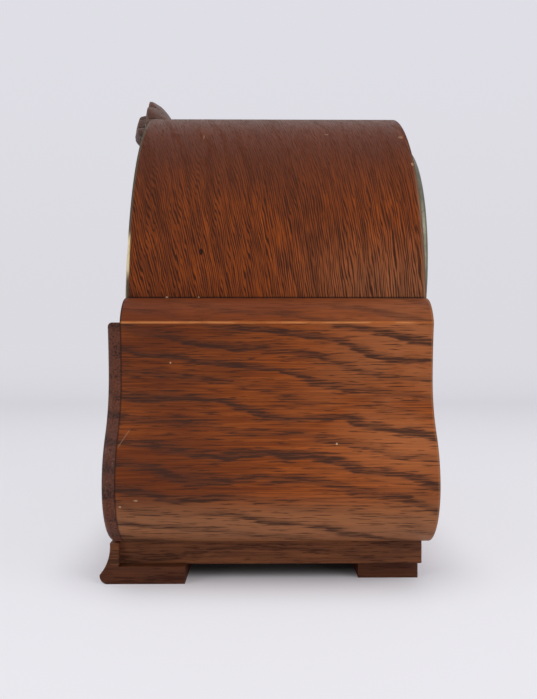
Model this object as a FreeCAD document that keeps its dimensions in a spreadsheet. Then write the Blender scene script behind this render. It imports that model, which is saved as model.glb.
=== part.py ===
import FreeCAD, Part
import Sketcher
import math
import os
from types import SimpleNamespace

# Table clock: an arched oak case on shaped side blocks, with a short-pendulum movement inside.
# +Z is up, the dial faces -Y, and the origin lies under the middle of the whole clock.

SIZES = dict(
    # case
    case_depth=120.0,
    arch_radius=105.0,
    hood_wall=6.0,
    arch_centre_rise=92.0,
    shoulder_over=4.5,
    block_inset=1.0,
    ovolo_width=13.1,
    ovolo_drop=10.2,
    waist_in=2.0,
    waist_drop=22.3,
    bulge_out=12.0,
    bulge_rise=25.5,
    flare_radius=35.0,
    sole_in=20.9,
    board_fit=0.2,
    cut_overrun=1.0,
    # front and back boards
    front_board_wall=8.0,
    back_board_wall=6.0,
    panel_wall=5.0,
    panel_round=2.2,
    panel_bezel_gap=2.0,
    # plinth and feet
    plinth_height=9.2,
    plinth_front_out=2.0,
    plinth_back_in=2.3,
    plinth_round=0.8,
    foot_height=6.8,
    foot_width=44.0,
    front_foot_side_out=3.0,
    front_foot_length=26.0,
    toe_top_out=3.4,
    toe_out=7.4,
    toe_sole_out=4.8,
    toe_nose_height=3.6,
    toe_cove_radius=17.0,
    toe_nose_radius=3.3,
    rear_foot_side_in=4.0,
    rear_foot_length=24.0,
    rear_foot_back_in=3.0,
    # carved crest
    crest_out=15.0,
    crest_rise=15.0,
    crest_radius=25.0,
    crest_edge_out=5.0,
    crest_bevel=7.0,
    crest_lap=6.3,
    # dial and bezel
    dial_margin=22.0,
    dial_wall=0.8,
    dial_recess=1.8,
    dial_fit=0.3,
    dial_centre_hole=5.0,
    centre_way_radius=9.0,
    dial_screw_radius=1.0,
    dial_screw_inset=2.5,
    dial_screw_length=5.0,
    dial_screw_head=1.6,
    dial_screw_head_height=0.7,
    bezel_lap=5.0,
    bezel_face=8.0,
    bezel_height=5.4,
    bezel_wall=1.1,
    bezel_crown_radius=3.0,
    glass_wall=1.4,
    glass_peak=10.6,
    glass_fit=0.1,
    glass_ring_wall=1.2,
    bezel_pin_radius=1.0,
    bezel_knuckle_radius=2.0,
    bezel_hinge_out=6.3,
    bezel_hinge_gap=3.2,
    bezel_knuckle_length=6.0,
    bezel_hinge_rise=4.0,
    hinge_leaf_wall=1.2,
    hinge_leaf_width=10.0,
    hinge_gap=0.3,
    running_fit=0.05,
    # back door
    door_lift=26.0,
    door_margin=2.0,
    door_flange=4.0,
    door_pan_fit=1.0,
    door_out=10.5,
    door_wall=0.9,
    door_edge_radius=2.5,
    door_slot_width=4.0,
    door_slot_length=44.0,
    door_slot_step=11.0,
    door_pin_radius=1.1,
    door_knuckle_radius=2.2,
    door_knuckle_length=12.0,
    door_hinge_gap=4.2,
    button_gap=8.0,
    button_bearing=27.3,
    button_length=15.5,
    button_width=7.0,
    button_wall=1.8,
    button_lift=1.3,
    button_screw_radius=1.5,
    button_screw_head=3.0,
    button_screw_head_height=1.2,
    button_screw_depth=4.0,
    # movement frame
    plate_half_width=47.0,
    plate_top=54.0,
    plate_bottom=52.0,
    plate_wall=1.6,
    plate_corner=8.0,
    plate_space=34.0,
    post_length=7.0,
    post_radius=4.5,
    pillar_radius=3.2,
    pillar_inset=5.5,
    pillar_stud_radius=1.8,
    nut_radius=3.6,
    nut_height=2.4,
    # going train
    barrel_teeth=76,
    barrel_module=0.8,
    barrel_drop=38.0,
    inter_pinion_leaves=10,
    inter_teeth=64,
    inter_module=0.6,
    centre_pinion_leaves=10,
    centre_teeth=88,
    centre_module=0.45,
    third_pinion_leaves=8,
    third_teeth=80,
    third_module=0.42,
    escape_pinion_leaves=8,
    escape_teeth=50,
    escape_radius=13.5,
    escape_tooth_depth=2.2,
    escape_rise=29.6,
    wheel_wall=1.2,
    wheel_rim=2.4,
    wheel_hub=4.0,
    spoke_width=2.2,
    arbor_radius=1.0,
    pivot_radius=0.6,
    pinion_length=4.0,
    drum_radius=26.0,
    drum_wall=1.3,
    drum_setback=2.0,
    drum_length=18.5,
    great_wheel_wall=2.0,
    inter_wheel_setback=24.9,
    centre_wheel_setback=28.8,
    third_wheel_setback=15.4,
    escape_wheel_setback=22.8,
    winding_arbor_radius=3.0,
    winding_hub_radius=7.0,
    winding_square=3.6,
    winding_tail_radius=2.2,
    winding_hole_radius=4.5,
    winding_tip_back=0.3,
    spring_strip=0.5,
    spring_half_turns=13,
    # ratchet and click
    ratchet_teeth=24,
    ratchet_radius=10.5,
    ratchet_tooth_depth=1.4,
    ratchet_wall=1.5,
    ratchet_lift=0.4,
    click_x=8.0,
    click_length=9.0,
    click_width=3.6,
    click_hub=2.4,
    click_stud_radius=1.2,
    click_spring_strip=0.5,
    click_spring_length=9.0,
    click_spring_gap=0.8,
    click_spring_foot=4.0,
    # motion work and hands
    cannon_leaves=12,
    minute_wheel_teeth=36,
    minute_module=0.6,
    minute_pinion_leaves=10,
    hour_wheel_teeth=40,
    motion_gap=0.6,
    minute_wheel_wall=1.0,
    hour_wheel_wall=1.0,
    centre_arbor_radius=1.5,
    cannon_wall=0.8,
    hour_pipe_wall=0.7,
    minute_stud_radius=1.0,
    hour_hand_lift=1.7,
    minute_hand_lift=3.4,
    hand_wall=0.5,
    hour_hand_gap=30.0,
    minute_hand_gap=8.0,
    hand_width=5.0,
    hand_tail=12.0,
    hand_boss=4.2,
    hand_nut_radius=2.4,
    hand_nut_height=1.2,
    shown_hour=10,
    shown_minute=9,
    # escapement and pendulum
    anchor_rise=46.3,
    anchor_wall=1.4,
    anchor_hub=2.2,
    anchor_arm=2.6,
    anchor_half_span=36.0,
    pallet_half_width=5.0,
    pallet_gap=1.05,
    cock_stand=5.0,
    cock_wall=1.6,
    cock_half_width=13.0,
    cock_half_height=4.0,
    cock_foot=5.0,
    cock_opening=2.6,
    suspension_post=5.0,
    suspension_depth=6.0,
    suspension_half_width=2.0,
    suspension_strip=0.25,
    suspension_above=2.5,
    suspension_below=6.0,
    crutch_setback=1.2,
    crutch_wall=1.6,
    crutch_length=32.0,
    crutch_rod=0.65,
    fork_half_width=2.2,
    fork_height=3.0,
    pendulum_rod_radius=0.9,
    bob_rise=32.3,
    pendulum_head_half_width=1.7,
    pendulum_head_height=5.0,
    bob_radius=15.0,
    bob_half_wall=4.5,
    bob_edge=0.6,
    rating_nut_radius=3.4,
    rating_nut_height=3.0,
    rod_tail=2.0,
)

doc = FreeCAD.newDocument("table_clock")
sheet = doc.addObject("Spreadsheet::Sheet", "sizes")


class Size:
    """A number together with the sheet formula that gives it."""

    def __init__(self, value, text):
        self.value = value
        self.text = text

    def __add__(self, other):
        other = sized(other)
        return Size(self.value + other.value, f"({self.text} + {other.text})")

    def __sub__(self, other):
        other = sized(other)
        return Size(self.value - other.value, f"({self.text} - {other.text})")

    def __mul__(self, other):
        other = sized(other)
        return Size(self.value * other.value, f"({self.text} * {other.text})")

    def __truediv__(self, other):
        other = sized(other)
        return Size(self.value / other.value, f"({self.text} / {other.text})")

    def __radd__(self, other):
        return sized(other) + self

    def __rsub__(self, other):
        return sized(other) - self

    def __rmul__(self, other):
        return sized(other) * self

    def __neg__(self):
        return Size(-self.value, f"(0 - {self.text})")


def sized(term):
    """A plain number becomes a Size of its own."""
    return term if isinstance(term, Size) else Size(float(term), repr(float(term)))


def root(term):
    """Square root of a Size."""
    return Size(math.sqrt(term.value), f"sqrt({term.text})")


def leg(long_side, other_side):
    """Remaining side of a right triangle."""
    return root(long_side * long_side - other_side * other_side)


for row, (alias, number) in enumerate(SIZES.items(), 1):
    sheet.set(f"A{row}", str(number))
    sheet.setAlias(f"A{row}", alias)
doc.recompute()
d = SimpleNamespace(**{alias: Size(float(sheet.get(alias)), f"sizes.{alias}") for alias in SIZES})
zero = Size(0.0, "0")
parts = []


def node(obj, label):
    """Marks a finished object as a sub-part of the clock."""
    obj.Label = label
    parts.append(obj)
    return obj


def bind(obj, **terms):
    """Ties properties of an object to the sheet."""
    for name, term in terms.items():
        obj.setExpression(name, sized(term).text)
    return obj


def place(obj, x, y, z):
    """Ties an object's position to the sheet."""
    for axis, term in (("x", x), ("y", y), ("z", z)):
        obj.setExpression(f"Placement.Base.{axis}", sized(term).text)
    return obj


def box(name, x0, x1, y0, y1, z0, z1):
    """Block between pairs of planes."""
    obj = doc.addObject("Part::Box", name)
    bind(obj, Length=x1 - x0, Width=y1 - y0, Height=z1 - z0)
    return place(obj, x0, y0, z0)


def rod(name, radius, x, z, y0, y1):
    """Cylinder that runs from front to back."""
    obj = doc.addObject("Part::Cylinder", name)
    obj.Placement.Rotation = FreeCAD.Rotation(FreeCAD.Vector(1, 0, 0), -90)
    bind(obj, Radius=radius, Height=y1 - y0)
    return place(obj, x, y0, z)


def upright(name, radius, x, y, z0, z1):
    """Cylinder that stands up."""
    obj = doc.addObject("Part::Cylinder", name)
    bind(obj, Radius=radius, Height=z1 - z0)
    return place(obj, x, y, z0)


def fuse(name, *shapes):
    """Union of objects."""
    obj = doc.addObject("Part::MultiFuse", name)
    obj.Shapes = list(shapes)
    return obj


def group(name, *shapes):
    """Separate solids kept together."""
    obj = doc.addObject("Part::Compound", name)
    obj.Links = list(shapes)
    return obj


def cut(name, base, *tools):
    """Base less its tools."""
    obj = doc.addObject("Part::Cut", name)
    obj.Base = base
    obj.Tool = tools[0] if len(tools) == 1 else fuse(name + "_tools", *tools)
    return obj


def body_plane(body, role):
    """One of a body's own origin planes."""
    return [f for f in body.Origin.OriginFeatures if f.Role == role][0]


def sketch_in(body, name, role):
    """Empty sketch on an origin plane."""
    sketch = body.newObject("Sketcher::SketchObject", name)
    sketch.AttachmentSupport = [(body_plane(body, role), "")]
    sketch.MapMode = "FlatFace"
    return sketch


def pin_point(sketch, index, end, x, y):
    """Fixes one end of a sketch edge at a bound position."""
    for kind, term in (("DistanceX", x), ("DistanceY", y)):
        row = sketch.addConstraint(Sketcher.Constraint(kind, -1, 1, index, end, term.value))
        sketch.setExpression(f"Constraints[{row}]", term.text)


def outline(sketch, points):
    """Closed outline: each entry is (x, y) or (x, y, radius), the radius of the arc that leads to the
    next point, positive where the arc turns left along the outline and negative where it turns right."""
    ends = [(sized(p[0]), sized(p[1])) for p in points]
    first = sketch.GeometryCount
    for k, point in enumerate(points):
        a = FreeCAD.Vector(ends[k][0].value, ends[k][1].value, 0)
        b = FreeCAD.Vector(ends[(k + 1) % len(points)][0].value, ends[(k + 1) % len(points)][1].value, 0)
        if len(point) == 2:
            sketch.addGeometry(Part.LineSegment(a, b))
            continue
        radius = sized(point[2]).value
        chord = b - a
        left = FreeCAD.Vector(-chord.y, chord.x, 0).normalize()
        side = math.copysign(1.0, radius)
        rise = math.sqrt(max(radius * radius - chord.Length ** 2 / 4, 0.0))
        middle = (a + b) / 2 - left * side * (abs(radius) - rise)
        sketch.addGeometry(Part.Arc(a, middle, b))
    for k, point in enumerate(points):
        edge, after = first + k, first + (k + 1) % len(points)
        straight = len(point) == 2
        turned = not straight and sized(point[2]).value < 0
        start = 2 if turned else 1
        finish = 1 if turned else 2
        after_point = points[(k + 1) % len(points)]
        after_start = 2 if len(after_point) == 3 and sized(after_point[2]).value < 0 else 1
        sketch.addConstraint(Sketcher.Constraint("Coincident", edge, finish, after, after_start))
        pin_point(sketch, edge, start, *ends[k])
        if not straight:
            radius = sized(point[2])
            size = -radius if turned else radius
            row = sketch.addConstraint(Sketcher.Constraint("Radius", edge, size.value))
            sketch.setExpression(f"Constraints[{row}]", size.text)
    return sketch


def ring_edge(sketch, x, y, radius):
    """Full circle at a bound place."""
    radius, x, y = sized(radius), sized(x), sized(y)
    circle = Part.Circle(FreeCAD.Vector(x.value, y.value, 0), FreeCAD.Vector(0, 0, 1), radius.value)
    index = sketch.addGeometry(circle)
    pin_point(sketch, index, 3, x, y)
    row = sketch.addConstraint(Sketcher.Constraint("Radius", index, radius.value))
    sketch.setExpression(f"Constraints[{row}]", radius.text)


def new_body(name):
    return doc.addObject("PartDesign::Body", name)


def padded(name, role, points, length, holes=()):
    """Body whose outline is padded along the plane's normal; holes are (x, y, radius)."""
    body = new_body(name)
    sketch = outline(sketch_in(body, name + "_outline", role), points)
    for hole in holes:
        ring_edge(sketch, *hole)
    pad = body.newObject("PartDesign::Pad", name + "_pad")
    pad.Profile = sketch
    bind(pad, Length=length)
    doc.recompute()
    return body


def rounded(body, name, radius, wanted):
    """Rounds the edges of a body's last feature that the given test picks."""
    base = body.Tip
    names = [f"Edge{k}" for k, edge in enumerate(base.Shape.Edges, 1) if wanted(edge)]
    fillet = body.newObject("PartDesign::Fillet", name)
    fillet.Base = (base, names)
    bind(fillet, Radius=radius)
    doc.recompute()
    return body


def turned(name, points, facing):
    """Body turned about the line of sight: points are (radius, distance out from the body's place), out to
    the front where facing is -1 and to the back where it is 1."""
    body = new_body(name)
    section = [(p[0], facing * sized(p[1])) + tuple(p[2:]) for p in points]
    sketch = outline(sketch_in(body, name + "_section", "XY_Plane"), section)
    spin = body.newObject("PartDesign::Revolution", name + "_turn")
    spin.Profile = sketch
    spin.ReferenceAxis = (sketch, ["V_Axis"])
    spin.Angle = 360.0
    doc.recompute()
    return body


# Levels shared by the whole clock
foot_top = d.foot_height
base = d.foot_height + d.plinth_height
dial_z = base + d.arch_centre_rise
span = d.crest_out + d.case_depth + d.door_out
front = d.crest_out - span / 2
back = front + d.case_depth
shoulder_z = dial_z + d.shoulder_over
hood_inner = d.arch_radius - d.hood_wall
inner_half_width = hood_inner - d.block_inset
hood_seat_x = leg(d.arch_radius, shoulder_z - dial_z)
hood_seat_inner_x = leg(hood_inner, shoulder_z - dial_z)
arris_x = hood_seat_x + d.ovolo_width
arris_z = shoulder_z - d.ovolo_drop
waist_x = arris_x - d.waist_in
waist_z = arris_z - d.waist_drop
bulge_x = waist_x + d.bulge_out
bulge_z = base + d.bulge_rise
sole_x = bulge_x - d.sole_in


# Side blocks: solid oak, ovolo shoulder, hollow waist and swelling foot
def side_curve():
    """Outer curve from the arris down to the underside, as outline entries for the right-hand side."""
    top_radius = (d.waist_in * d.waist_in + d.waist_drop * d.waist_drop) / (2 * d.waist_in)
    drop = waist_z - bulge_z
    both = (d.bulge_out * d.bulge_out + drop * drop) / (2 * d.bulge_out)
    belly_radius = both - d.flare_radius
    turn_x = waist_x + d.bulge_out * d.flare_radius / both
    turn_z = waist_z - drop * d.flare_radius / both
    tuck_radius = (d.sole_in * d.sole_in + d.bulge_rise * d.bulge_rise) / (2 * d.sole_in)
    return [(arris_x, arris_z, top_radius), (waist_x, waist_z, d.flare_radius),
            (turn_x, turn_z, -belly_radius), (bulge_x, bulge_z, -tuck_radius), (sole_x, base)]


def mirrored(points):
    """Outline entries for the left-hand side, in the same running order."""
    return [(-sized(p[0]), p[1]) + tuple(-sized(r) for r in p[2:]) for p in points]


ovolo_share = 0.84
ovolo_radius = ovolo_share * root(d.ovolo_width * d.ovolo_width + d.ovolo_drop * d.ovolo_drop)
block_outline = [(inner_half_width, base), (inner_half_width, shoulder_z),
                 (hood_seat_x, shoulder_z, -ovolo_radius)] + side_curve()
for label, points in (("side_block_right", block_outline), ("side_block_left", mirrored(block_outline))):
    block = padded(label, "XZ_Plane", points, d.case_depth)
    node(place(block, zero, back, zero), label)

# Arched hood: bent board that stands on the two shoulders
hood = padded("arch_hood", "XZ_Plane",
              [(hood_seat_x, shoulder_z, d.arch_radius), (-hood_seat_x, shoulder_z),
               (-hood_seat_inner_x, shoulder_z, -hood_inner), (hood_seat_inner_x, shoulder_z)], d.case_depth)
node(place(hood, zero, back, zero), "arch_hood")

# Front and back boards: fill the arch and the space between the side blocks
board_radius = hood_inner - d.board_fit
board_x = inner_half_width - d.board_fit
board_top = dial_z + leg(board_radius, board_x)
board_outline = [(board_x, base), (board_x, board_top, board_radius), (-board_x, board_top), (-board_x, base)]
front_board_back = front + d.front_board_wall
recess_floor = front + d.dial_recess
wind_z = dial_z - d.barrel_drop
screw_shares = ((0.0, 1.0), (0.866, -0.5), (-0.866, -0.5))
dial_radius = hood_inner - d.dial_margin
screw_circle = dial_radius - d.dial_screw_inset
bezel_radius = dial_radius + d.bezel_lap
bezel_inner_radius = bezel_radius - d.bezel_face
board = padded("front_board_blank", "XZ_Plane", board_outline, d.front_board_wall)
place(board, zero, front_board_back, zero)
board_holes = [
    rod("dial_recess_cut", dial_radius + d.dial_fit, zero, dial_z, front - d.cut_overrun, recess_floor),
    rod("centre_way", d.centre_way_radius, zero, dial_z, recess_floor - d.cut_overrun,
        front_board_back + d.cut_overrun),
    rod("winding_way", d.winding_hole_radius, zero, wind_z, recess_floor - d.cut_overrun,
        front_board_back + d.cut_overrun)]
for k, (sx, sz) in enumerate(screw_shares):
    board_holes.append(rod(f"dial_screw_way_{k}", d.dial_screw_radius, sx * screw_circle,
                           dial_z + sz * screw_circle, recess_floor - d.cut_overrun,
                           recess_floor - d.dial_wall + d.dial_screw_length))
node(cut("front_board", board, *board_holes), "front_board")

door_z = dial_z + d.door_lift
door_radius = hood_inner - d.door_lift - d.door_margin
door_opening_radius = door_radius - d.door_flange
door_pan_radius = door_opening_radius - d.door_pan_fit
back_inner = back - d.back_board_wall
back_board = padded("back_board_blank", "XZ_Plane", board_outline, d.back_board_wall,
                    [(zero, door_z, door_opening_radius)])
place(back_board, zero, back, zero)
button_circle = door_radius + d.button_gap
button_angle = math.radians(d.button_bearing.value)
button_x = math.cos(button_angle) * button_circle
button_z = door_z - math.sin(button_angle) * button_circle
node(cut("back_board", back_board,
         rod("button_screw_way", d.button_screw_radius, button_x, button_z, back - d.button_screw_depth,
             back + d.cut_overrun)), "back_board")

# Front panel: lower facing with the case's swelling outline, round-edged, hollowed for the bezel
panel_z = arris_z
panel_arc = bezel_radius + d.panel_bezel_gap
panel_in_x = leg(panel_arc, dial_z - panel_z)
panel_right = side_curve()
panel_left = [(-sized(p[0]), p[1]) + tuple(p[2:]) for p in panel_right]
left_up = []
for k in range(len(panel_left) - 1, -1, -1):
    lead = panel_left[k - 1][2:] if k > 0 else ()
    left_up.append(panel_left[k][:2] + tuple(lead))
panel = padded("front_panel", "XZ_Plane",
               [(panel_in_x, panel_z)] + panel_right + left_up + [(-panel_in_x, panel_z, panel_arc)],
               d.panel_wall)
place(panel, zero, front, zero)
doc.recompute()


def outer_front_edge(edge):
    """Front edges of the panel, apart from the hollow under the bezel."""
    extent = edge.BoundBox
    on_front = extent.YMax < d.board_fit.value - d.panel_wall.value
    middle = edge.valueAt((edge.FirstParameter + edge.LastParameter) / 2)
    radial = math.hypot(middle.x, middle.z - dial_z.value)
    return on_front and radial > panel_arc.value + d.board_fit.value


node(rounded(panel, "front_panel_round", d.panel_round, outer_front_edge), "front_panel")

# Plinth board under the blocks
plinth_front = front - d.plinth_front_out
plinth = padded("plinth_board", "XZ_Plane",
                [(-sole_x, foot_top), (sole_x, foot_top),
                 (sole_x, base), (-sole_x, base)],
                back - d.plinth_back_in - plinth_front)
place(plinth, zero, back - d.plinth_back_in, zero)
doc.recompute()
node(rounded(plinth, "plinth_round", d.plinth_round,
             lambda edge: abs(edge.BoundBox.ZMax - foot_top.value) < d.board_fit.value
             and edge.BoundBox.ZLength < d.board_fit.value), "plinth_board")

# Feet: plain blocks, with a coved toe in front of each front foot
front_blocks = []
toes = []
rear_blocks = []
for side, sign in (("right", 1), ("left", -1)):
    outer = sign * (sole_x + d.front_foot_side_out)
    inner = sign * (sole_x + d.front_foot_side_out - d.foot_width)
    x0, x1 = (inner, outer) if sign > 0 else (outer, inner)
    front_blocks.append(box("front_block_" + side, x0, x1, plinth_front, plinth_front + d.front_foot_length,
                            zero, foot_top))
    toe = padded("toe_" + side, "YZ_Plane",
                 [(zero, zero), (zero, base), (-d.toe_top_out, base, -d.toe_cove_radius),
                  (-d.toe_out, d.toe_nose_height, d.toe_nose_radius), (-d.toe_sole_out, zero)], d.foot_width)
    toes.append(place(toe, x0, plinth_front, zero))
    outer = sign * (sole_x - d.rear_foot_side_in)
    inner = sign * (sole_x - d.rear_foot_side_in - d.foot_width)
    x0, x1 = (inner, outer) if sign > 0 else (outer, inner)
    rear_blocks.append(box("rear_block_" + side, x0, x1, back - d.rear_foot_back_in - d.rear_foot_length,
                           back - d.rear_foot_back_in, zero, foot_top))
node(group("front_foot_blocks", *front_blocks), "front_foot_blocks")
node(group("front_foot_toes", *toes), "front_foot_toes")
node(group("rear_foot_blocks", *rear_blocks), "rear_foot_blocks")

# Carved crest: a shell turned about the line of sight, trimmed to seven lobes and seated on the arch
crest_z = dial_z + d.arch_radius + d.crest_rise - d.crest_radius
crest_fall = d.crest_out - d.crest_edge_out
crest_bow = (d.crest_radius * d.crest_radius + crest_fall * crest_fall) / (2 * crest_fall)
shell = turned("crest_shell", [(zero, d.crest_out, crest_bow), (d.crest_radius, d.crest_edge_out),
                               (d.crest_radius - d.crest_bevel, -d.crest_lap), (zero, -d.crest_lap)], -1)
place(shell, zero, front, crest_z)
lobes = 7
cusp_share, lobe_share = 0.88, 0.995
half_lobe = math.pi / (2 * lobes)
cusp = cusp_share * d.crest_radius
lobe_half_width = math.sin(half_lobe) * cusp
lobe_rise = lobe_share * d.crest_radius - math.cos(half_lobe) * cusp
lobe_radius = (lobe_half_width * lobe_half_width + lobe_rise * lobe_rise) / (2 * lobe_rise)
lobe_points = [(math.cos(2 * half_lobe * k) * cusp, math.sin(2 * half_lobe * k) * cusp, lobe_radius)
               for k in range(lobes)]
lobe_points.append((-cusp, zero))
lobe_block = padded("crest_lobes", "XZ_Plane", lobe_points, d.crest_out + d.crest_lap + 2 * d.cut_overrun)
place(lobe_block, zero, front + d.crest_lap + d.cut_overrun, crest_z)
crest_blank = doc.addObject("Part::Common", "crest_blank")
crest_blank.Base = shell
crest_blank.Tool = lobe_block
crest_seat = rod("crest_seat", d.arch_radius, zero, dial_z, front, back)
node(cut("crest", crest_blank, crest_seat), "crest")

# Dial: flat disc let into the front board, with three small screws
dial_front = recess_floor - d.dial_wall
dial_blank = rod("dial_blank", dial_radius, zero, dial_z, dial_front, recess_floor)
dial_cuts = [rod("dial_centre_cut", d.dial_centre_hole, zero, dial_z, dial_front - d.cut_overrun,
                 recess_floor + d.cut_overrun),
             rod("dial_winding_cut", d.winding_hole_radius, zero, wind_z, dial_front - d.cut_overrun,
                 recess_floor + d.cut_overrun)]
dial_screws = []
for k, (sx, sz) in enumerate(screw_shares):
    x, z = sx * screw_circle, dial_z + sz * screw_circle
    dial_cuts.append(rod(f"dial_screw_cut_{k}", d.dial_screw_radius, x, z, dial_front - d.cut_overrun,
                         recess_floor + d.cut_overrun))
    dial_screws.append(fuse(f"dial_screw_{k}",
                            rod(f"dial_screw_shank_{k}", d.dial_screw_radius, x, z, dial_front,
                                dial_front + d.dial_screw_length),
                            rod(f"dial_screw_head_{k}", d.dial_screw_head, x, z,
                                dial_front - d.dial_screw_head_height, dial_front)))
node(cut("dial_plate", dial_blank, *dial_cuts), "dial_plate")
node(group("dial_screws", *dial_screws), "dial_screws")

# Bezel: spun brass ring with a rolled crown, convex glass and the wire that holds it
crown_x = bezel_radius - d.bezel_crown_radius
seat_out = d.bezel_height - d.bezel_wall
glass_radius = crown_x - d.bezel_wall
bezel = turned("bezel_ring",
               [(bezel_radius, zero), (bezel_radius, d.bezel_height - d.bezel_crown_radius,
                                         -d.bezel_crown_radius),
                (crown_x, d.bezel_height), (bezel_inner_radius, d.bezel_height),
                (bezel_inner_radius, seat_out), (glass_radius, seat_out), (glass_radius, zero)], -1)
node(place(bezel, zero, front, dial_z), "bezel_ring")
lens_radius = glass_radius - d.glass_fit
lens_edge_x = bezel_inner_radius - d.glass_fit
lens_rise = d.glass_peak - seat_out
lens_curve = (lens_edge_x * lens_edge_x + lens_rise * lens_rise) / (2 * lens_rise)
lens_inner_curve = lens_curve - d.glass_wall
lens_back_out = seat_out - d.glass_wall
lens_inner_x = leg(lens_inner_curve, lens_back_out - d.glass_peak + lens_curve)
glass = turned("bezel_glass",
               [(zero, d.glass_peak, lens_curve), (lens_edge_x, seat_out), (lens_radius, seat_out),
                (lens_radius, lens_back_out), (lens_inner_x, lens_back_out, -lens_inner_curve),
                (zero, d.glass_peak - d.glass_wall)], -1)
node(place(glass, zero, front, dial_z), "bezel_glass")
ring_out = lens_back_out - d.glass_ring_wall
glass_ring = turned("glass_ring", [(bezel_inner_radius, lens_back_out), (bezel_inner_radius, ring_out),
                                   (lens_radius, ring_out), (lens_radius, lens_back_out)], -1)
node(place(glass_ring, zero, front, dial_z), "glass_ring")

# Bezel hinge: leaf on the front board, strap on the bezel and a pin through three knuckles
hinge_x = -(bezel_radius + d.bezel_hinge_gap)
hinge_y = front - d.bezel_hinge_out
knuckle_step = d.bezel_knuckle_length + d.hinge_gap
knuckle_z = [dial_z + d.bezel_hinge_rise + k * knuckle_step for k in range(3)]
hinge_top = knuckle_z[2] + d.bezel_knuckle_length
fixed = [box("bezel_leaf_plate", hinge_x - d.hinge_leaf_width, hinge_x, front - d.hinge_leaf_wall, front,
             knuckle_z[0], hinge_top)]
for k in (0, 2):
    top = knuckle_z[k] + d.bezel_knuckle_length
    fixed.append(upright(f"bezel_leaf_knuckle_{k}", d.bezel_knuckle_radius, hinge_x, hinge_y, knuckle_z[k],
                         top))
    fixed.append(box(f"bezel_leaf_arm_{k}", hinge_x - d.bezel_knuckle_radius, hinge_x, hinge_y,
                     front - d.hinge_leaf_wall, knuckle_z[k], top))
node(cut("bezel_hinge_leaf", fuse("bezel_leaf_blank", *fixed),
         upright("bezel_leaf_bore", d.bezel_pin_radius, hinge_x, hinge_y, knuckle_z[0], hinge_top)),
     "bezel_hinge_leaf")
strap_out = front - d.bezel_height
strap = fuse("bezel_strap_blank",
             upright("bezel_strap_knuckle", d.bezel_knuckle_radius, hinge_x, hinge_y, knuckle_z[1],
                     knuckle_z[1] + d.bezel_knuckle_length),
             box("bezel_strap_plate", hinge_x, hinge_x + d.hinge_leaf_width, strap_out - d.hinge_leaf_wall,
                 strap_out, knuckle_z[1], knuckle_z[1] + d.bezel_knuckle_length))
node(cut("bezel_strap", strap,
         upright("bezel_strap_bore", d.bezel_pin_radius + d.running_fit, hinge_x, hinge_y, knuckle_z[1],
                 knuckle_z[1] + d.bezel_knuckle_length)), "bezel_strap")
node(upright("bezel_hinge_pin", d.bezel_pin_radius, hinge_x, hinge_y, knuckle_z[0], hinge_top),
     "bezel_hinge_pin")

# Back door: pressed metal pan with a flange and sound slots, hung on one hinge
pan_bend = door_pan_radius - d.door_edge_radius
pan = turned("back_door_pan",
             [(door_radius, zero), (door_radius, d.door_wall), (door_pan_radius, d.door_wall),
              (door_pan_radius, d.door_out - d.door_edge_radius, d.door_edge_radius),
              (pan_bend, d.door_out), (zero, d.door_out), (zero, d.door_out - d.door_wall),
              (pan_bend, d.door_out - d.door_wall, d.door_wall - d.door_edge_radius),
              (door_pan_radius - d.door_wall, d.door_out - d.door_edge_radius),
              (door_pan_radius - d.door_wall, zero)], 1)
place(pan, zero, back, door_z)
slots = []
for k in range(-1, 2):
    slot_z = door_z + k * d.door_slot_step
    slots.append(box(f"door_slot_{k + 1}", -d.door_slot_length / 2, d.door_slot_length / 2,
                     back + d.door_edge_radius, back + d.door_out + d.cut_overrun,
                     slot_z - d.door_slot_width / 2, slot_z + d.door_slot_width / 2))
node(cut("back_door", pan, *slots), "back_door")
door_hinge_x = -(door_radius + d.door_hinge_gap)
door_hinge_y = back + d.door_knuckle_radius + d.hinge_gap
door_step = d.door_knuckle_length + d.hinge_gap
door_knuckle_z = [door_z - d.door_knuckle_length / 2 + k * door_step for k in range(-1, 2)]
door_hinge_top = door_knuckle_z[2] + d.door_knuckle_length
clear_x = door_hinge_x - d.door_knuckle_radius - d.hinge_gap
fixed = [box("door_leaf_plate", clear_x - d.hinge_leaf_width, clear_x, back, back + d.hinge_leaf_wall,
             door_knuckle_z[0], door_hinge_top)]
for k in (0, 2):
    top = door_knuckle_z[k] + d.door_knuckle_length
    fixed.append(upright(f"door_leaf_knuckle_{k}", d.door_knuckle_radius, door_hinge_x, door_hinge_y,
                         door_knuckle_z[k], top))
    fixed.append(box(f"door_leaf_tab_{k}", clear_x, door_hinge_x, back, back + d.hinge_leaf_wall,
                     door_knuckle_z[k], top))
node(cut("door_hinge_leaf", fuse("door_leaf_blank", *fixed),
         upright("door_leaf_bore", d.door_pin_radius, door_hinge_x, door_hinge_y, door_knuckle_z[0],
                 door_hinge_top)), "door_hinge_leaf")
strap = fuse("door_strap_blank",
             upright("door_strap_knuckle", d.door_knuckle_radius, door_hinge_x, door_hinge_y,
                     door_knuckle_z[1], door_knuckle_z[1] + d.door_knuckle_length),
             box("door_strap_plate", door_hinge_x, -door_opening_radius, back + d.door_wall,
                 back + d.door_wall + d.hinge_leaf_wall, door_knuckle_z[1],
                 door_knuckle_z[1] + d.door_knuckle_length))
node(cut("door_strap", strap,
         upright("door_strap_bore", d.door_pin_radius + d.running_fit, door_hinge_x, door_hinge_y,
                 door_knuckle_z[1], door_knuckle_z[1] + d.door_knuckle_length)), "door_strap")
node(upright("door_hinge_pin", d.door_pin_radius, door_hinge_x, door_hinge_y, door_knuckle_z[0],
             door_hinge_top), "door_hinge_pin")

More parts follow.
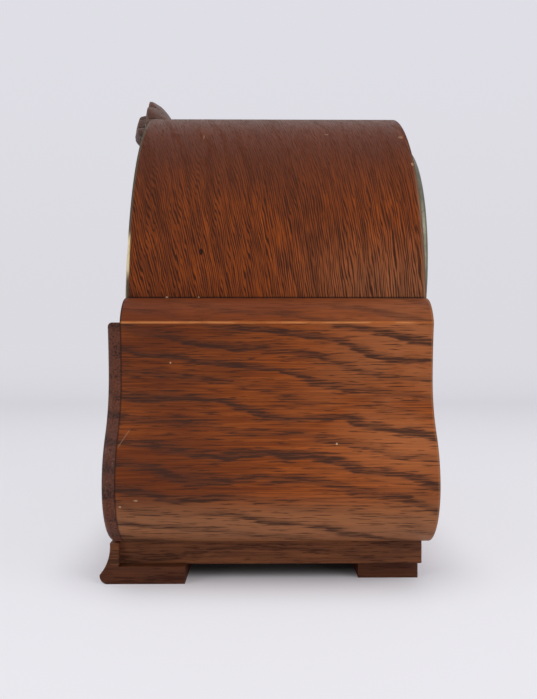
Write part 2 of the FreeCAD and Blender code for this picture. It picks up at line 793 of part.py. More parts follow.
# Turn button on the back board, hanging clear of the door; turned inwards it laps over the flange
button_front = back + d.button_lift
button_back = button_front + d.button_wall
button_end = d.button_width / 2
bar = fuse("turn_button_blank",
           box("turn_button_bar", button_x - button_end, button_x + button_end, button_front, button_back,
               button_z + button_end - d.button_length, button_z),
           rod("turn_button_head", button_end, button_x, button_z, back + d.running_fit, button_back))
node(cut("turn_button", bar, rod("turn_button_bore", d.button_screw_radius + d.running_fit, button_x,
                                 button_z, back, button_back)), "turn_button")
node(fuse("turn_button_screw",
          rod("button_screw_shank", d.button_screw_radius, button_x, button_z, back - d.button_screw_depth,
              button_back + d.running_fit),
          rod("button_screw_cap", d.button_screw_head, button_x, button_z, button_back + d.running_fit,
              button_back + d.running_fit + d.button_screw_head_height)), "turn_button_screw")

# Movement frame: two plates on four pillars, held off the front board by posts
front_plate_y = front_board_back + d.post_length
inside = front_plate_y + d.plate_wall
back_plate_y = inside + d.plate_space
outside = back_plate_y + d.plate_wall
great_distance = (d.barrel_teeth + d.inter_pinion_leaves) * d.barrel_module / 2
inter_distance = (d.inter_teeth + d.centre_pinion_leaves) * d.inter_module / 2
third_distance = (d.centre_teeth + d.third_pinion_leaves) * d.centre_module / 2
escape_distance = (d.third_teeth + d.escape_pinion_leaves) * d.third_module / 2
inter_dz = (great_distance * great_distance - inter_distance * inter_distance
            - d.barrel_drop * d.barrel_drop) / (2 * d.barrel_drop)
third_dz = (third_distance * third_distance - escape_distance * escape_distance
            + d.escape_rise * d.escape_rise) / (2 * d.escape_rise)
inter_x, inter_z = leg(inter_distance, inter_dz), dial_z + inter_dz
third_x, third_z = -leg(third_distance, third_dz), dial_z + third_dz
escape_z = dial_z + d.escape_rise
anchor_z = dial_z + d.anchor_rise
minute_distance = (d.cannon_leaves + d.minute_wheel_teeth) * d.minute_module / 2
pivot_hole = d.pivot_radius + d.running_fit
plate_low, plate_high = dial_z - d.plate_bottom, dial_z + d.plate_top
wide, narrow = d.plate_half_width, d.plate_half_width - d.plate_corner
plate_outline = [(-narrow, plate_low), (narrow, plate_low), (wide, plate_low + d.plate_corner),
                 (wide, plate_high - d.plate_corner), (narrow, plate_high), (-narrow, plate_high),
                 (-wide, plate_high - d.plate_corner), (-wide, plate_low + d.plate_corner)]
pillar_x = d.plate_half_width - d.pillar_inset
pillar_spots = [(sx * pillar_x, z) for sx in (1, -1)
                for z in (plate_low + d.pillar_inset, plate_high - d.pillar_inset)]
train_holes = [(inter_x, inter_z, pivot_hole), (third_x, third_z, pivot_hole), (zero, escape_z, pivot_hole)]
stud_holes = [(x, z, d.pillar_stud_radius) for x, z in pillar_spots]
front_plate = padded("front_plate", "XZ_Plane", plate_outline, d.plate_wall, train_holes + stud_holes + [
    (zero, anchor_z, pivot_hole), (zero, dial_z, d.centre_arbor_radius + d.running_fit),
    (zero, wind_z, d.winding_arbor_radius + d.running_fit), (-minute_distance, dial_z, d.minute_stud_radius)])
node(place(front_plate, zero, inside, zero), "front_plate")
click_x = d.click_x
click_z = wind_z + d.ratchet_radius + d.hinge_gap + d.click_width / 2
back_plate = padded("back_plate", "XZ_Plane", plate_outline, d.plate_wall, train_holes + stud_holes + [
    (zero, anchor_z, d.cock_opening), (zero, dial_z, pivot_hole),
    (zero, wind_z, d.winding_tail_radius + d.running_fit), (click_x, click_z, d.click_stud_radius)])
node(place(back_plate, zero, outside, zero), "back_plate")
pillars, posts, nuts = [], [], []
stud_end = outside + d.nut_height
for k, (x, z) in enumerate(pillar_spots):
    stud_start = front_plate_y - d.post_length / 2
    pillars.append(fuse(f"pillar_{k}", rod(f"pillar_shaft_{k}", d.pillar_radius, x, z, inside, back_plate_y),
                        rod(f"pillar_stud_{k}", d.pillar_stud_radius, x, z, stud_start, stud_end)))
    posts.append(cut(f"post_{k}",
                     rod(f"post_blank_{k}", d.post_radius, x, z, front_board_back, front_plate_y),
                     rod(f"post_bore_{k}", d.pillar_stud_radius, x, z, stud_start, front_plate_y)))
    nut = doc.addObject("Part::Prism", f"nut_blank_{k}")
    nut.Polygon = 6
    nut.Placement.Rotation = FreeCAD.Rotation(FreeCAD.Vector(1, 0, 0), -90)
    bind(nut, Circumradius=d.nut_radius, Height=d.nut_height)
    place(nut, x, outside, z)
    nuts.append(cut(f"nut_{k}", nut, rod(f"nut_bore_{k}", d.pillar_stud_radius, x, z, outside, stud_end)))
node(group("plate_pillars", *pillars), "plate_pillars")
node(group("movement_posts", *posts), "movement_posts")
node(group("pillar_nuts", *nuts), "pillar_nuts")


# Going train: flat toothed wheels on arbors that turn in the plates
def round_points(points):
    """Points given as (radius, angle) in the plane of the dial."""
    return [FreeCAD.Vector(r * math.cos(a), 0, r * math.sin(a)) for r, a in points]


def flat_face(points, holes=()):
    """Face of a polygon with round or curved holes."""
    outer = Part.makePolygon(points + points[:1])
    return Part.Face([outer] + list(holes))


def hole_wire(radius):
    return Part.Wire(Part.makeCircle(radius, FreeCAD.Vector(0, 0, 0), FreeCAD.Vector(0, 1, 0)))


def tooth_outline(count, module, turn, tooth_shares):
    """Teeth around a pitch circle: tooth_shares are root width, tip width, addendum and dedendum."""
    root_share, tip_share, addendum_share, dedendum_share = tooth_shares
    pitch_radius = count * module / 2
    low = pitch_radius - dedendum_share * module
    high = pitch_radius + addendum_share * module
    half_pitch = math.pi / count
    points = []
    for k in range(count):
        middle = turn + 2 * k * half_pitch
        points += [(low, middle - root_share * half_pitch), (high, middle - tip_share * half_pitch),
                   (high, middle + tip_share * half_pitch), (low, middle + root_share * half_pitch)]
    return round_points(points)


def windows(hub, rim, spoke_width):
    """Four openings between the spokes of a wheel."""
    found = []
    for k in range(4):
        start, finish = k * math.pi / 2, (k + 1) * math.pi / 2
        inner_side = math.asin(spoke_width / 2 / hub)
        outer_side = math.asin(spoke_width / 2 / rim)
        a, b = round_points([(hub, start + inner_side), (hub, finish - inner_side)])
        c, e = round_points([(rim, finish - outer_side), (rim, start + outer_side)])
        inner_mid, outer_mid = round_points([(hub, (start + finish) / 2), (rim, (start + finish) / 2)])
        found.append(Part.Wire([Part.Arc(a, inner_mid, b).toShape(), Part.makeLine(b, c),
                                Part.Arc(c, outer_mid, e).toShape(), Part.makeLine(e, a)]))
    return found


def shaped(name, face, thickness, x, y, z):
    """Flat piece cut to a face, standing at a bound place."""
    obj = doc.addObject("Part::Feature", name)
    obj.Shape = face.extrude(FreeCAD.Vector(0, thickness.value, 0))
    return place(obj, x, y, z)


wheel_shares = (0.56, 0.2, 0.8, 1.1)
pinion_shares = (0.5, 0.2, 0.6, 1.25)


def wheel(name, count, module, turn, wall, bore, x, y, z):
    """Spoked wheel."""
    rim = count.value * module.value / 2 - wheel_shares[3] * module.value - d.wheel_rim.value
    holes = [hole_wire(bore.value)] + windows(d.wheel_hub.value, rim, d.spoke_width.value)
    face = flat_face(tooth_outline(int(count.value), module.value, turn, wheel_shares), holes)
    return shaped(name, face, wall, x, y, z)


def pinion(name, count, module, turn, length, x, y, z):
    """Solid pinion."""
    face = flat_face(tooth_outline(int(count.value), module.value, turn, pinion_shares))
    return shaped(name, face, length, x, y, z)


def bearing(x0, z0, x1, z1):
    """Direction from one axis to the next, as an angle in the plane of the dial."""
    return math.atan2(z1.value - z0.value, x1.value - x0.value)


def facing_gap(direction, count):
    """Turn that puts a pinion's gap opposite the wheel's tooth."""
    return direction + math.pi + math.pi / count.value


def arbor(name, x, z, leaves, module, direction, leaf_y, leaf_length):
    """Arbor between the plates with its pivots and its pinion."""
    shoulder = d.hinge_gap
    turn = facing_gap(direction, leaves)
    return fuse(name, rod(name + "_shaft", d.arbor_radius, x, z, inside + shoulder, back_plate_y - shoulder),
                rod(name + "_pivots", d.pivot_radius, x, z, front_plate_y, outside),
                pinion(name + "_leaves", leaves, module, turn, leaf_length, x, leaf_y, z))


drum_front = inside + d.drum_setback
drum_back = drum_front + d.drum_length
inter_wheel_y = inside + d.inter_wheel_setback
centre_wheel_y = inside + d.centre_wheel_setback
third_wheel_y = inside + d.third_wheel_setback
escape_wheel_y = inside + d.escape_wheel_setback
to_inter = bearing(zero, wind_z, inter_x, inter_z)
to_centre = bearing(inter_x, inter_z, zero, dial_z)
to_third = bearing(zero, dial_z, third_x, third_z)
to_escape = bearing(third_x, third_z, zero, escape_z)

# Spring barrel: drum with its great wheel, cover and mainspring, on the winding arbor
arbor_hole = d.winding_arbor_radius + d.running_fit
cover_front = drum_front - d.drum_wall
drum = cut("drum_shell", rod("drum_blank", d.drum_radius, zero, wind_z, drum_front, drum_back),
           rod("drum_hollow", d.drum_radius - d.drum_wall, zero, wind_z, drum_front, drum_back - d.drum_wall))
great_teeth = tooth_outline(int(d.barrel_teeth.value), d.barrel_module.value, to_inter, wheel_shares)
great = shaped("great_wheel", flat_face(great_teeth), d.great_wheel_wall, zero, drum_back, wind_z)
node(cut("barrel_drum", fuse("barrel_blank", drum, great),
         rod("barrel_bore", arbor_hole, zero, wind_z, drum_front, drum_back + d.great_wheel_wall)),
     "barrel_drum")
node(cut("barrel_cover", rod("cover_blank", d.drum_radius, zero, wind_z, cover_front, drum_front),
         rod("cover_bore", arbor_hole, zero, wind_z, cover_front, drum_front)), "barrel_cover")


def spiral_strip(first_radius, step, half_turns, strip):
    """Strip wound in half circles, each wider than the last by half a step, their centres taking turns."""
    sides = []
    for offset in (-strip / 2, strip / 2):
        edges = []
        radius, centre = first_radius, 0.0
        for k in range(half_turns):
            sign = 1 if k % 2 == 0 else -1
            r = radius + offset
            edges.append(Part.Arc(FreeCAD.Vector(centre + sign * r, 0, 0),
                                  FreeCAD.Vector(centre, 0, sign * r),
                                  FreeCAD.Vector(centre - sign * r, 0, 0)))
            radius += step / 2
            centre += sign * step / 2
        sides.append(edges)
    inner, outer = sides
    edges = [arc.toShape() for arc in inner + outer]
    edges.append(Part.makeLine(inner[0].StartPoint, outer[0].StartPoint))
    edges.append(Part.makeLine(inner[-1].EndPoint, outer[-1].EndPoint))
    return Part.Face(Part.Wire(Part.__sortEdges__(edges)))


spring_inner = d.winding_hub_radius + d.hinge_gap + d.spring_strip / 2
spring_outer = d.drum_radius - d.drum_wall - d.hinge_gap - d.spring_strip / 2
spring_step = 2 * (spring_outer - spring_inner) / (d.spring_half_turns - 1)
spring_face = spiral_strip(spring_inner.value, spring_step.value, int(d.spring_half_turns.value),
                           d.spring_strip.value)
spring_length = d.drum_length - d.drum_wall - d.hinge_gap * 2
node(shaped("mainspring", spring_face, spring_length, zero, drum_front + d.hinge_gap, wind_z), "mainspring")
tip_y = dial_front + d.winding_tip_back
ratchet_y = outside + d.ratchet_lift
ratchet_back = ratchet_y + d.ratchet_wall
half_square = d.winding_square / 2
node(fuse("winding_arbor",
          rod("winding_shaft", d.winding_arbor_radius, zero, wind_z, front_plate_y,
              back_plate_y - d.hinge_gap),
          rod("winding_hub", d.winding_hub_radius, zero, wind_z, drum_front + d.hinge_gap,
              drum_back - d.drum_wall - d.hinge_gap),
          rod("winding_tail", d.winding_tail_radius, zero, wind_z, back_plate_y - d.hinge_gap, ratchet_back),
          box("winding_key_square", -half_square, half_square, tip_y, front_plate_y, wind_z - half_square,
              wind_z + half_square)), "winding_arbor")


def saw_outline(count, radius, depth, lean):
    """Saw teeth: steep face, long back; lean is 1 for teeth that point one way round and -1 for the other."""
    steep_share = 0.12
    pitch = 2 * math.pi / count
    points = []
    for k in range(count):
        points += [(radius, lean * k * pitch), (radius - depth, lean * (k + steep_share) * pitch)]
    return round_points(points[::lean])


ratchet_saw = saw_outline(int(d.ratchet_teeth.value), d.ratchet_radius.value, d.ratchet_tooth_depth.value, 1)
ratchet_face = flat_face(ratchet_saw, [hole_wire(d.winding_tail_radius.value)])
node(shaped("ratchet_wheel", ratchet_face, d.ratchet_wall, zero, ratchet_y, wind_z), "ratchet_wheel")

# Click: lever on a stud of the back plate, its nose just clear of the ratchet, with a leaf spring over it
node(rod("click_stud", d.click_stud_radius, click_x, click_z, back_plate_y, ratchet_back), "click_stud")
click_bar = box("click_bar", click_x - d.click_length, click_x, ratchet_y, ratchet_back,
                click_z - d.click_width / 2, click_z + d.click_width / 2)
click_boss = rod("click_boss", d.click_hub, click_x, click_z, ratchet_y, ratchet_back)
node(cut("click", fuse("click_blank", click_bar, click_boss),
         rod("click_bore", d.click_stud_radius + d.running_fit, click_x, click_z, ratchet_y, ratchet_back)),
     "click")
leaf_low = click_z + d.click_hub + d.click_spring_gap
leaf_end = click_x + d.click_spring_length / 2
node(fuse("click_spring",
          box("click_spring_strip_leaf", leaf_end - d.click_spring_length, leaf_end, ratchet_y, ratchet_back,
              leaf_low, leaf_low + d.click_spring_strip),
          box("click_spring_block", leaf_end, leaf_end + d.click_spring_foot, outside, ratchet_back, leaf_low,
              leaf_low + d.click_spring_foot)), "click_spring")

# Intermediate, third and escape wheels on their arbors
leaves_lap = d.pinion_length / 2 - d.great_wheel_wall / 2
node(arbor("intermediate_arbor", inter_x, inter_z, d.inter_pinion_leaves, d.barrel_module, to_inter,
           drum_back - leaves_lap, d.pinion_length), "intermediate_arbor")
node(wheel("intermediate_wheel", d.inter_teeth, d.inter_module, to_centre, d.wheel_wall, d.arbor_radius,
           inter_x, inter_wheel_y, inter_z), "intermediate_wheel")
leaves_lap = d.pinion_length / 2 - d.wheel_wall / 2
node(arbor("third_arbor", third_x, third_z, d.third_pinion_leaves, d.centre_module, to_third,
           centre_wheel_y - leaves_lap, d.pinion_length), "third_arbor")
node(wheel("third_wheel", d.third_teeth, d.third_module, to_escape, d.wheel_wall, d.arbor_radius, third_x,
           third_wheel_y, third_z), "third_wheel")
node(arbor("escape_arbor", zero, escape_z, d.escape_pinion_leaves, d.third_module, to_escape,
           third_wheel_y - leaves_lap, d.pinion_length), "escape_arbor")
escape_rim = d.escape_radius - d.escape_tooth_depth - d.wheel_rim
escape_saw = saw_outline(int(d.escape_teeth.value), d.escape_radius.value, d.escape_tooth_depth.value, -1)
escape_face = flat_face(escape_saw, [hole_wire(d.arbor_radius.value)]
                        + windows(d.wheel_hub.value, escape_rim.value, d.spoke_width.value))
node(shaped("escape_wheel", escape_face, d.wheel_wall, zero, escape_wheel_y, escape_z), "escape_wheel")

# Centre arbor with its wheel, and the motion work in front of the plate
hour_hand_y = dial_front - d.hour_hand_lift
minute_hand_y = dial_front - d.minute_hand_lift
arbor_tip = minute_hand_y - d.hand_wall - d.hand_nut_height
node(fuse("centre_arbor",
          rod("centre_shaft", d.centre_arbor_radius, zero, dial_z, arbor_tip, back_plate_y - d.hinge_gap),
          rod("centre_pivot", d.pivot_radius, zero, dial_z, back_plate_y - d.hinge_gap, outside),
          pinion("centre_leaves", d.centre_pinion_leaves, d.inter_module,
                 facing_gap(to_centre, d.centre_pinion_leaves), d.pinion_length, zero,
                 inter_wheel_y - leaves_lap, dial_z)), "centre_arbor")
node(wheel("centre_wheel", d.centre_teeth, d.centre_module, to_third, d.wheel_wall, d.centre_arbor_radius,
           zero, centre_wheel_y, dial_z), "centre_wheel")
cannon_radius = d.centre_arbor_radius + d.cannon_wall
hour_pipe_inner = cannon_radius + d.running_fit
hour_pipe_radius = hour_pipe_inner + d.hour_pipe_wall
minute_back = front_plate_y - d.motion_gap
minute_front = minute_back - d.minute_wheel_wall
hour_back = minute_front - d.motion_gap
hour_front = hour_back - d.hour_wheel_wall
hour_module = 2 * minute_distance / (d.minute_pinion_leaves + d.hour_wheel_teeth)
node(cut("cannon_pinion", fuse("cannon_blank",
                               pinion("cannon_leaves_ring", d.cannon_leaves, d.minute_module, 0.0,
                                      minute_back - minute_front, zero, minute_front, dial_z),
                               rod("cannon_pipe", cannon_radius, zero, dial_z, minute_hand_y, minute_back)),
         rod("cannon_bore", d.centre_arbor_radius, zero, dial_z, minute_hand_y, minute_back)),
     "cannon_pinion")
minute_turn = math.pi / d.minute_wheel_teeth.value
minute_face = flat_face(tooth_outline(int(d.minute_wheel_teeth.value), d.minute_module.value, minute_turn,
                                      wheel_shares))
stud_hole = d.minute_stud_radius + d.running_fit
node(cut("minute_wheel", fuse("minute_blank",
                              shaped("minute_disc", minute_face, d.minute_wheel_wall, -minute_distance,
                                     minute_front, dial_z),
                              pinion("minute_leaves", d.minute_pinion_leaves, hour_module, 0.0,
                                     minute_front - hour_front, -minute_distance, hour_front, dial_z)),
         rod("minute_bore", stud_hole, -minute_distance, dial_z, hour_front, minute_back)), "minute_wheel")
node(rod("minute_stud", d.minute_stud_radius, -minute_distance, dial_z, hour_front, inside), "minute_stud")
hour_turn = math.pi / d.hour_wheel_teeth.value
hour_teeth = tooth_outline(int(d.hour_wheel_teeth.value), hour_module.value, hour_turn, wheel_shares)
node(cut("hour_wheel", fuse("hour_blank",
                            shaped("hour_disc", flat_face(hour_teeth), d.hour_wheel_wall, zero, hour_front,
                                   dial_z),
                            rod("hour_pipe", hour_pipe_radius, zero, dial_z, hour_hand_y - d.hand_wall,
                                hour_back)),
         rod("hour_bore", hour_pipe_inner, zero, dial_z, hour_hand_y - d.hand_wall, hour_back)), "hour_wheel")


def hand(name, length, bore, y, degrees):
    """Leaf-shaped hand with a round boss, turned to the time shown."""
    half = d.hand_width / 2
    widest_share, neck_share = 0.72, 0.3
    body = padded(name + "_leaf", "XZ_Plane",
                  [(-half * neck_share, -d.hand_tail), (half * neck_share, -d.hand_tail),
                   (half * neck_share, length * neck_share), (half, length * widest_share), (zero, length),
                   (-half, length * widest_share), (-half * neck_share, length * neck_share)], d.hand_wall)
    body.Placement.Rotation = FreeCAD.Rotation(FreeCAD.Vector(0, 1, 0), degrees)
    place(body, zero, y, dial_z)
    boss = rod(name + "_boss", d.hand_boss, zero, dial_z, y - d.hand_wall, y)
    return cut(name, fuse(name + "_blank", body, boss),
               rod(name + "_bore", bore, zero, dial_z, y - d.hand_wall, y))


minute_degrees = 6.0 * d.shown_minute.value
hour_degrees = 30.0 * d.shown_hour.value + minute_degrees / 12.0
hour_reach = bezel_inner_radius - d.hour_hand_gap
minute_reach = bezel_inner_radius - d.minute_hand_gap
node(hand("hour_hand", hour_reach, hour_pipe_radius, hour_hand_y, hour_degrees), "hour_hand")
node(hand("minute_hand", minute_reach, d.centre_arbor_radius, minute_hand_y, minute_degrees), "minute_hand")
nut_back = minute_hand_y - d.hand_wall
node(cut("hand_nut", rod("hand_nut_blank", d.hand_nut_radius, zero, dial_z, arbor_tip, nut_back),
         rod("hand_nut_bore", d.centre_arbor_radius, zero, dial_z, arbor_tip, nut_back)), "hand_nut")

# Anchor: arbor, two arms with their pallets clear of the escape wheel, and the crutch behind the back plate
reach = d.escape_radius + d.pallet_gap
to_anchor = anchor_z - escape_z
span_angle = math.radians(d.anchor_half_span.value)
pallet_angle = math.radians(d.pallet_half_width.value)


def anchor_face():
    """Both arms of the anchor in one outline about its axis: right pallet, hub, left pallet, hub."""
    near, far = reach.value, reach.value + d.anchor_arm.value
    start, finish = span_angle - pallet_angle, span_angle + pallet_angle
    polar = [(near, start), (near, finish), (far, finish)]
    right = [(r * math.sin(a), r * math.cos(a) - to_anchor.value) for r, a in polar]
    left = [(-x, z) for x, z in right[::-1]]
    root_share = 0.7
    half_root = root_share * d.anchor_hub.value
    points = right + [(0.0, half_root)] + left + [(0.0, -half_root)]
    return flat_face([FreeCAD.Vector(x, 0, z) for x, z in points])


anchor_y = escape_wheel_y - (d.anchor_wall - d.wheel_wall) / 2
crutch_y = outside + d.crutch_setback
crutch_back = crutch_y + d.crutch_wall
cock_y = outside + d.cock_stand
cock_back = cock_y + d.cock_wall
pendulum_y = cock_back + d.suspension_depth / 2
fork_z = anchor_z - d.crutch_length
fork_reach = pendulum_y + d.suspension_half_width
fork_slot = d.pendulum_rod_radius + d.running_fit
crutch_fork = cut("crutch_fork",
                  box("fork_block", -d.fork_half_width, d.fork_half_width, crutch_y, fork_reach,
                      fork_z - d.fork_height / 2, fork_z + d.fork_height / 2),
                  box("fork_slot", -fork_slot, fork_slot, pendulum_y - d.suspension_half_width,
                      fork_reach + d.cut_overrun, fork_z - d.fork_height, fork_z + d.fork_height))
node(fuse("anchor",
          rod("anchor_shaft", d.arbor_radius, zero, anchor_z, inside + d.hinge_gap, cock_y - d.hinge_gap),
          rod("anchor_pivots", d.pivot_radius, zero, anchor_z, front_plate_y, cock_back),
          rod("anchor_collar", d.anchor_hub, zero, anchor_z, anchor_y, anchor_y + d.anchor_wall),
          shaped("anchor_arms", anchor_face(), d.anchor_wall, zero, anchor_y, anchor_z),
          rod("crutch_collar", d.anchor_hub, zero, anchor_z, crutch_y, crutch_back),
          upright("crutch_rod_shaft", d.crutch_rod, zero, (crutch_y + crutch_back) / 2, fork_z, anchor_z),
          crutch_fork), "anchor")

# Cock: bridge behind the back plate that holds the anchor's pivot and the suspension
cock_low, cock_high = anchor_z - d.cock_half_height, anchor_z + d.cock_half_height
leg_in = d.cock_half_width - d.cock_foot
cock_top = anchor_z + d.suspension_above
node(cut("pallet_cock",
         fuse("cock_blank",
              box("cock_bridge", -d.cock_half_width, d.cock_half_width, cock_y, cock_back, cock_low,
                  cock_top + d.suspension_post),
              box("cock_foot_right", leg_in, d.cock_half_width, outside, cock_y, cock_low, cock_high),
              box("cock_foot_left", -d.cock_half_width, -leg_in, outside, cock_y, cock_low, cock_high),
              box("suspension_post_block", -d.suspension_half_width, d.suspension_half_width, cock_back,
                  cock_back + d.suspension_depth, cock_top, cock_top + d.suspension_post)),
         rod("cock_bore", pivot_hole, zero, anchor_z, cock_y, cock_back)), "pallet_cock")

# Suspension spring, pendulum and rating nut
spring_low = anchor_z - d.suspension_below
node(box("suspension_spring", -d.suspension_strip / 2, d.suspension_strip / 2,
         pendulum_y - d.suspension_half_width, pendulum_y + d.suspension_half_width, spring_low, cock_top),
     "suspension_spring")
head_top = spring_low - d.hinge_gap
bob_z = base + d.bob_rise
bob_low = bob_z - d.bob_radius
nut_top = bob_low - d.hinge_gap
nut_low = nut_top - d.rating_nut_height
rod_end = nut_low - d.rod_tail
node(fuse("pendulum_rod",
          upright("pendulum_shaft", d.pendulum_rod_radius, zero, pendulum_y, rod_end, head_top),
          box("pendulum_head", -d.pendulum_head_half_width, d.pendulum_head_half_width,
              pendulum_y - d.suspension_half_width, pendulum_y + d.suspension_half_width,
              head_top - d.pendulum_head_height, head_top)), "pendulum_rod")
bob_dish = d.bob_half_wall - d.bob_edge
bob_curve = (d.bob_radius * d.bob_radius + bob_dish * bob_dish) / (2 * bob_dish)
bob = turned("bob_blank", [(zero, -d.bob_half_wall, bob_curve), (d.bob_radius, -d.bob_edge),
                           (d.bob_radius, d.bob_edge, bob_curve), (zero, d.bob_half_wall)], 1)
place(bob, zero, pendulum_y, bob_z)
node(cut("pendulum_bob", bob, upright("bob_bore", d.pendulum_rod_radius, zero, pendulum_y,
                                      bob_low - d.cut_overrun, bob_z + d.bob_radius + d.cut_overrun)),
     "pendulum_bob")
node(cut("rating_nut", upright("rating_nut_blank", d.rating_nut_radius, zero, pendulum_y, nut_low, nut_top),
         upright("rating_nut_bore", d.pendulum_rod_radius + d.running_fit, zero, pendulum_y, nut_low,
                 nut_top)), "rating_nut")

# Every piece is checked, then written to a file of its own name
doc.recompute()
failed = [obj.Name for obj in doc.Objects if "Invalid" in obj.State or "Error" in obj.State]
failed += [obj.Label for obj in parts if obj.Shape.isNull() or not obj.Shape.isValid()]
if failed:
    raise RuntimeError(f"pieces that could not be built: {failed}")
os.makedirs("parts", exist_ok=True)
for obj in parts:
    obj.Shape.exportStep(f"parts/{obj.Label}.step")
print(len(parts), "pieces written")
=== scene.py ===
import math
import bmesh
import bpy
import numpy as np
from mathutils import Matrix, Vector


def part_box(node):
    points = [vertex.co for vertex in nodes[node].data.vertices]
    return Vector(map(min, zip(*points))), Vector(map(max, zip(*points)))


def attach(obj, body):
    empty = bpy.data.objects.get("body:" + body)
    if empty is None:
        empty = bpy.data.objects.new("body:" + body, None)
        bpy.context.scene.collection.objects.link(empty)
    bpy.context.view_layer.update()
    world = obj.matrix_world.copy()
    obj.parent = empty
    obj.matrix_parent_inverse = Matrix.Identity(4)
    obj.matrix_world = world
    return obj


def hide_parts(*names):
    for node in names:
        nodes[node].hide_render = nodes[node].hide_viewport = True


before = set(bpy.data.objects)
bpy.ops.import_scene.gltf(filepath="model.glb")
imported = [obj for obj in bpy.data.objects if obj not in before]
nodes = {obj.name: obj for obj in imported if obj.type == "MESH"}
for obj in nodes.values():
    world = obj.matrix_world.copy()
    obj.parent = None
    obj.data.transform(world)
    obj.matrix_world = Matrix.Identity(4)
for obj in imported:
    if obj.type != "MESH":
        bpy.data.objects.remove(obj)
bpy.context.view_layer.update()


# Side blocks: solid oak sawn to a bombé curve, with the grain running from front to back.
# They stand on the plinth and carry the hood on their rounded shoulders.
# Stained brown and waxed; a painted highlight runs along the arris under the shoulder, which in patches has
# worn through to pale wood. Painted shade darkens the front, painted light the back, and a painted floor
# reflection the bottom.
class Wire:
    """A shader socket in Python sums: an expression on wires and numbers adds its Math nodes."""

    def __init__(self, tree, socket=None):
        self.tree = tree
        self.socket = socket

    def node(self, kind, settings=None, output=0, **values):
        """Adds a node: its own settings, then its sockets by name, or by _number, as values or wires."""
        made = self.tree.nodes.new("ShaderNode" + kind)
        for name, setting in (settings or {}).items():
            setattr(made, name, setting)
        for name, value in values.items():
            socket = made.inputs[int(name[1:]) if name[0] == "_" else name.replace("_", " ")]
            if isinstance(value, Wire):
                self.tree.links.new(value.socket, socket)
            else:
                socket.default_value = value
        return Wire(self.tree, made.outputs[output])

    def math(self, operation, *terms):
        """Adds a Math node on the terms, which are wires or numbers."""
        return self.node("Math", {"operation": operation}, **{f"_{k}": t for k, t in enumerate(terms)})

    def __add__(self, other):
        return self.math("ADD", self, other)

    def __sub__(self, other):
        return self.math("SUBTRACT", self, other)

    def __mul__(self, other):
        return self.math("MULTIPLY", self, other)

    def __truediv__(self, other):
        return self.math("DIVIDE", self, other)

    def __rsub__(self, other):
        return self.math("SUBTRACT", other, self)

    __radd__ = __add__
    __rmul__ = __mul__

    def step(self, low, high):
        """Smooth rise from 0 at low to 1 at high; high may be the lower of the two."""
        if low > high:
            return 1 - self.step(high, low)
        smooth_step = {"interpolation_type": "SMOOTHSTEP"}
        return self.node("MapRange", smooth_step, Value=self, From_Min=low, From_Max=high)

    def between(self, low, high, soft):
        """1 between low and high and 0 outside, with the change spread over soft to each side of both."""
        return self.step(low - soft, low + soft) * self.step(high + soft, high - soft)

    def noise(self, x, y, z, detail=2.0, rough=0.5):
        """Noise between 0 and 1 at the given coordinates."""
        spot = self.node("CombineXYZ", X=x, Y=y, Z=z)
        return self.node("TexNoise", Vector=spot, Scale=1.0, Detail=detail, Roughness=rough)

    def mix(self, factor, first, second):
        """Colour between first, at factor 0, and second, at factor 1."""
        return self.node("Mix", {"data_type": "RGBA"}, 2, _0=factor, _6=first, _7=second)

    def seen(self):
        """1 for rays from the camera, off a glossy surface or through glass, 0 for rays that only light."""
        mirrored = self.math("MAXIMUM", self.node("LightPath", None, "Is Glossy Ray"),
                             self.node("LightPath", None, "Is Transmission Ray"))
        return self.math("MAXIMUM", self.node("LightPath", None, "Is Camera Ray"), mirrored)

    def bump(self, height, distance):
        """Surface direction of a relief, in which a height of 1 stands for the distance, in metres."""
        return self.node("Bump", None, Height=height, Distance=distance, Strength=1.0)


def corners(node):
    """Lowest and highest corner of a CAD node at rest, in millimetres."""
    return [[round(value * 1000.0, 4) for value in corner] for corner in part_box(node)]


def srgb(red, green, blue):
    """Linear colour of a screen colour given in 0 to 255."""
    share = np.array([red, green, blue]) / 255.0
    linear = np.where(share <= 0.04045, share / 12.92, ((share + 0.055) / 1.055) ** 2.4)
    return (*linear.tolist(), 1.0)


def finish(name, **fixed):
    """New material: its Principled shader with fixed values, a wire to build on, and x, y, z in mm."""
    made = bpy.data.materials.new(name)
    made.use_nodes = True
    shader = made.node_tree.nodes["Principled BSDF"]
    for key, value in fixed.items():
        shader.inputs[key.replace("_", " ")].default_value = value
    wire = Wire(made.node_tree)
    place = wire.node("TexCoord", None, "Object")
    scaled = wire.node("VectorMath", {"operation": "SCALE"}, Vector=place, Scale=1000.0)
    split = [wire.node("SeparateXYZ", None, axis, Vector=scaled) for axis in "XYZ"]
    return made, shader, wire, split


def feed(wire, shader, **sources):
    """Links wires to the shader's sockets."""
    for key, source in sources.items():
        wire.tree.links.new(source.socket, shader.inputs[key.replace("_", " ")])


def dress(material, *names):
    """Gives a material to CAD nodes."""
    for name in names:
        nodes[name].data.materials.clear()
        nodes[name].data.materials.append(material)


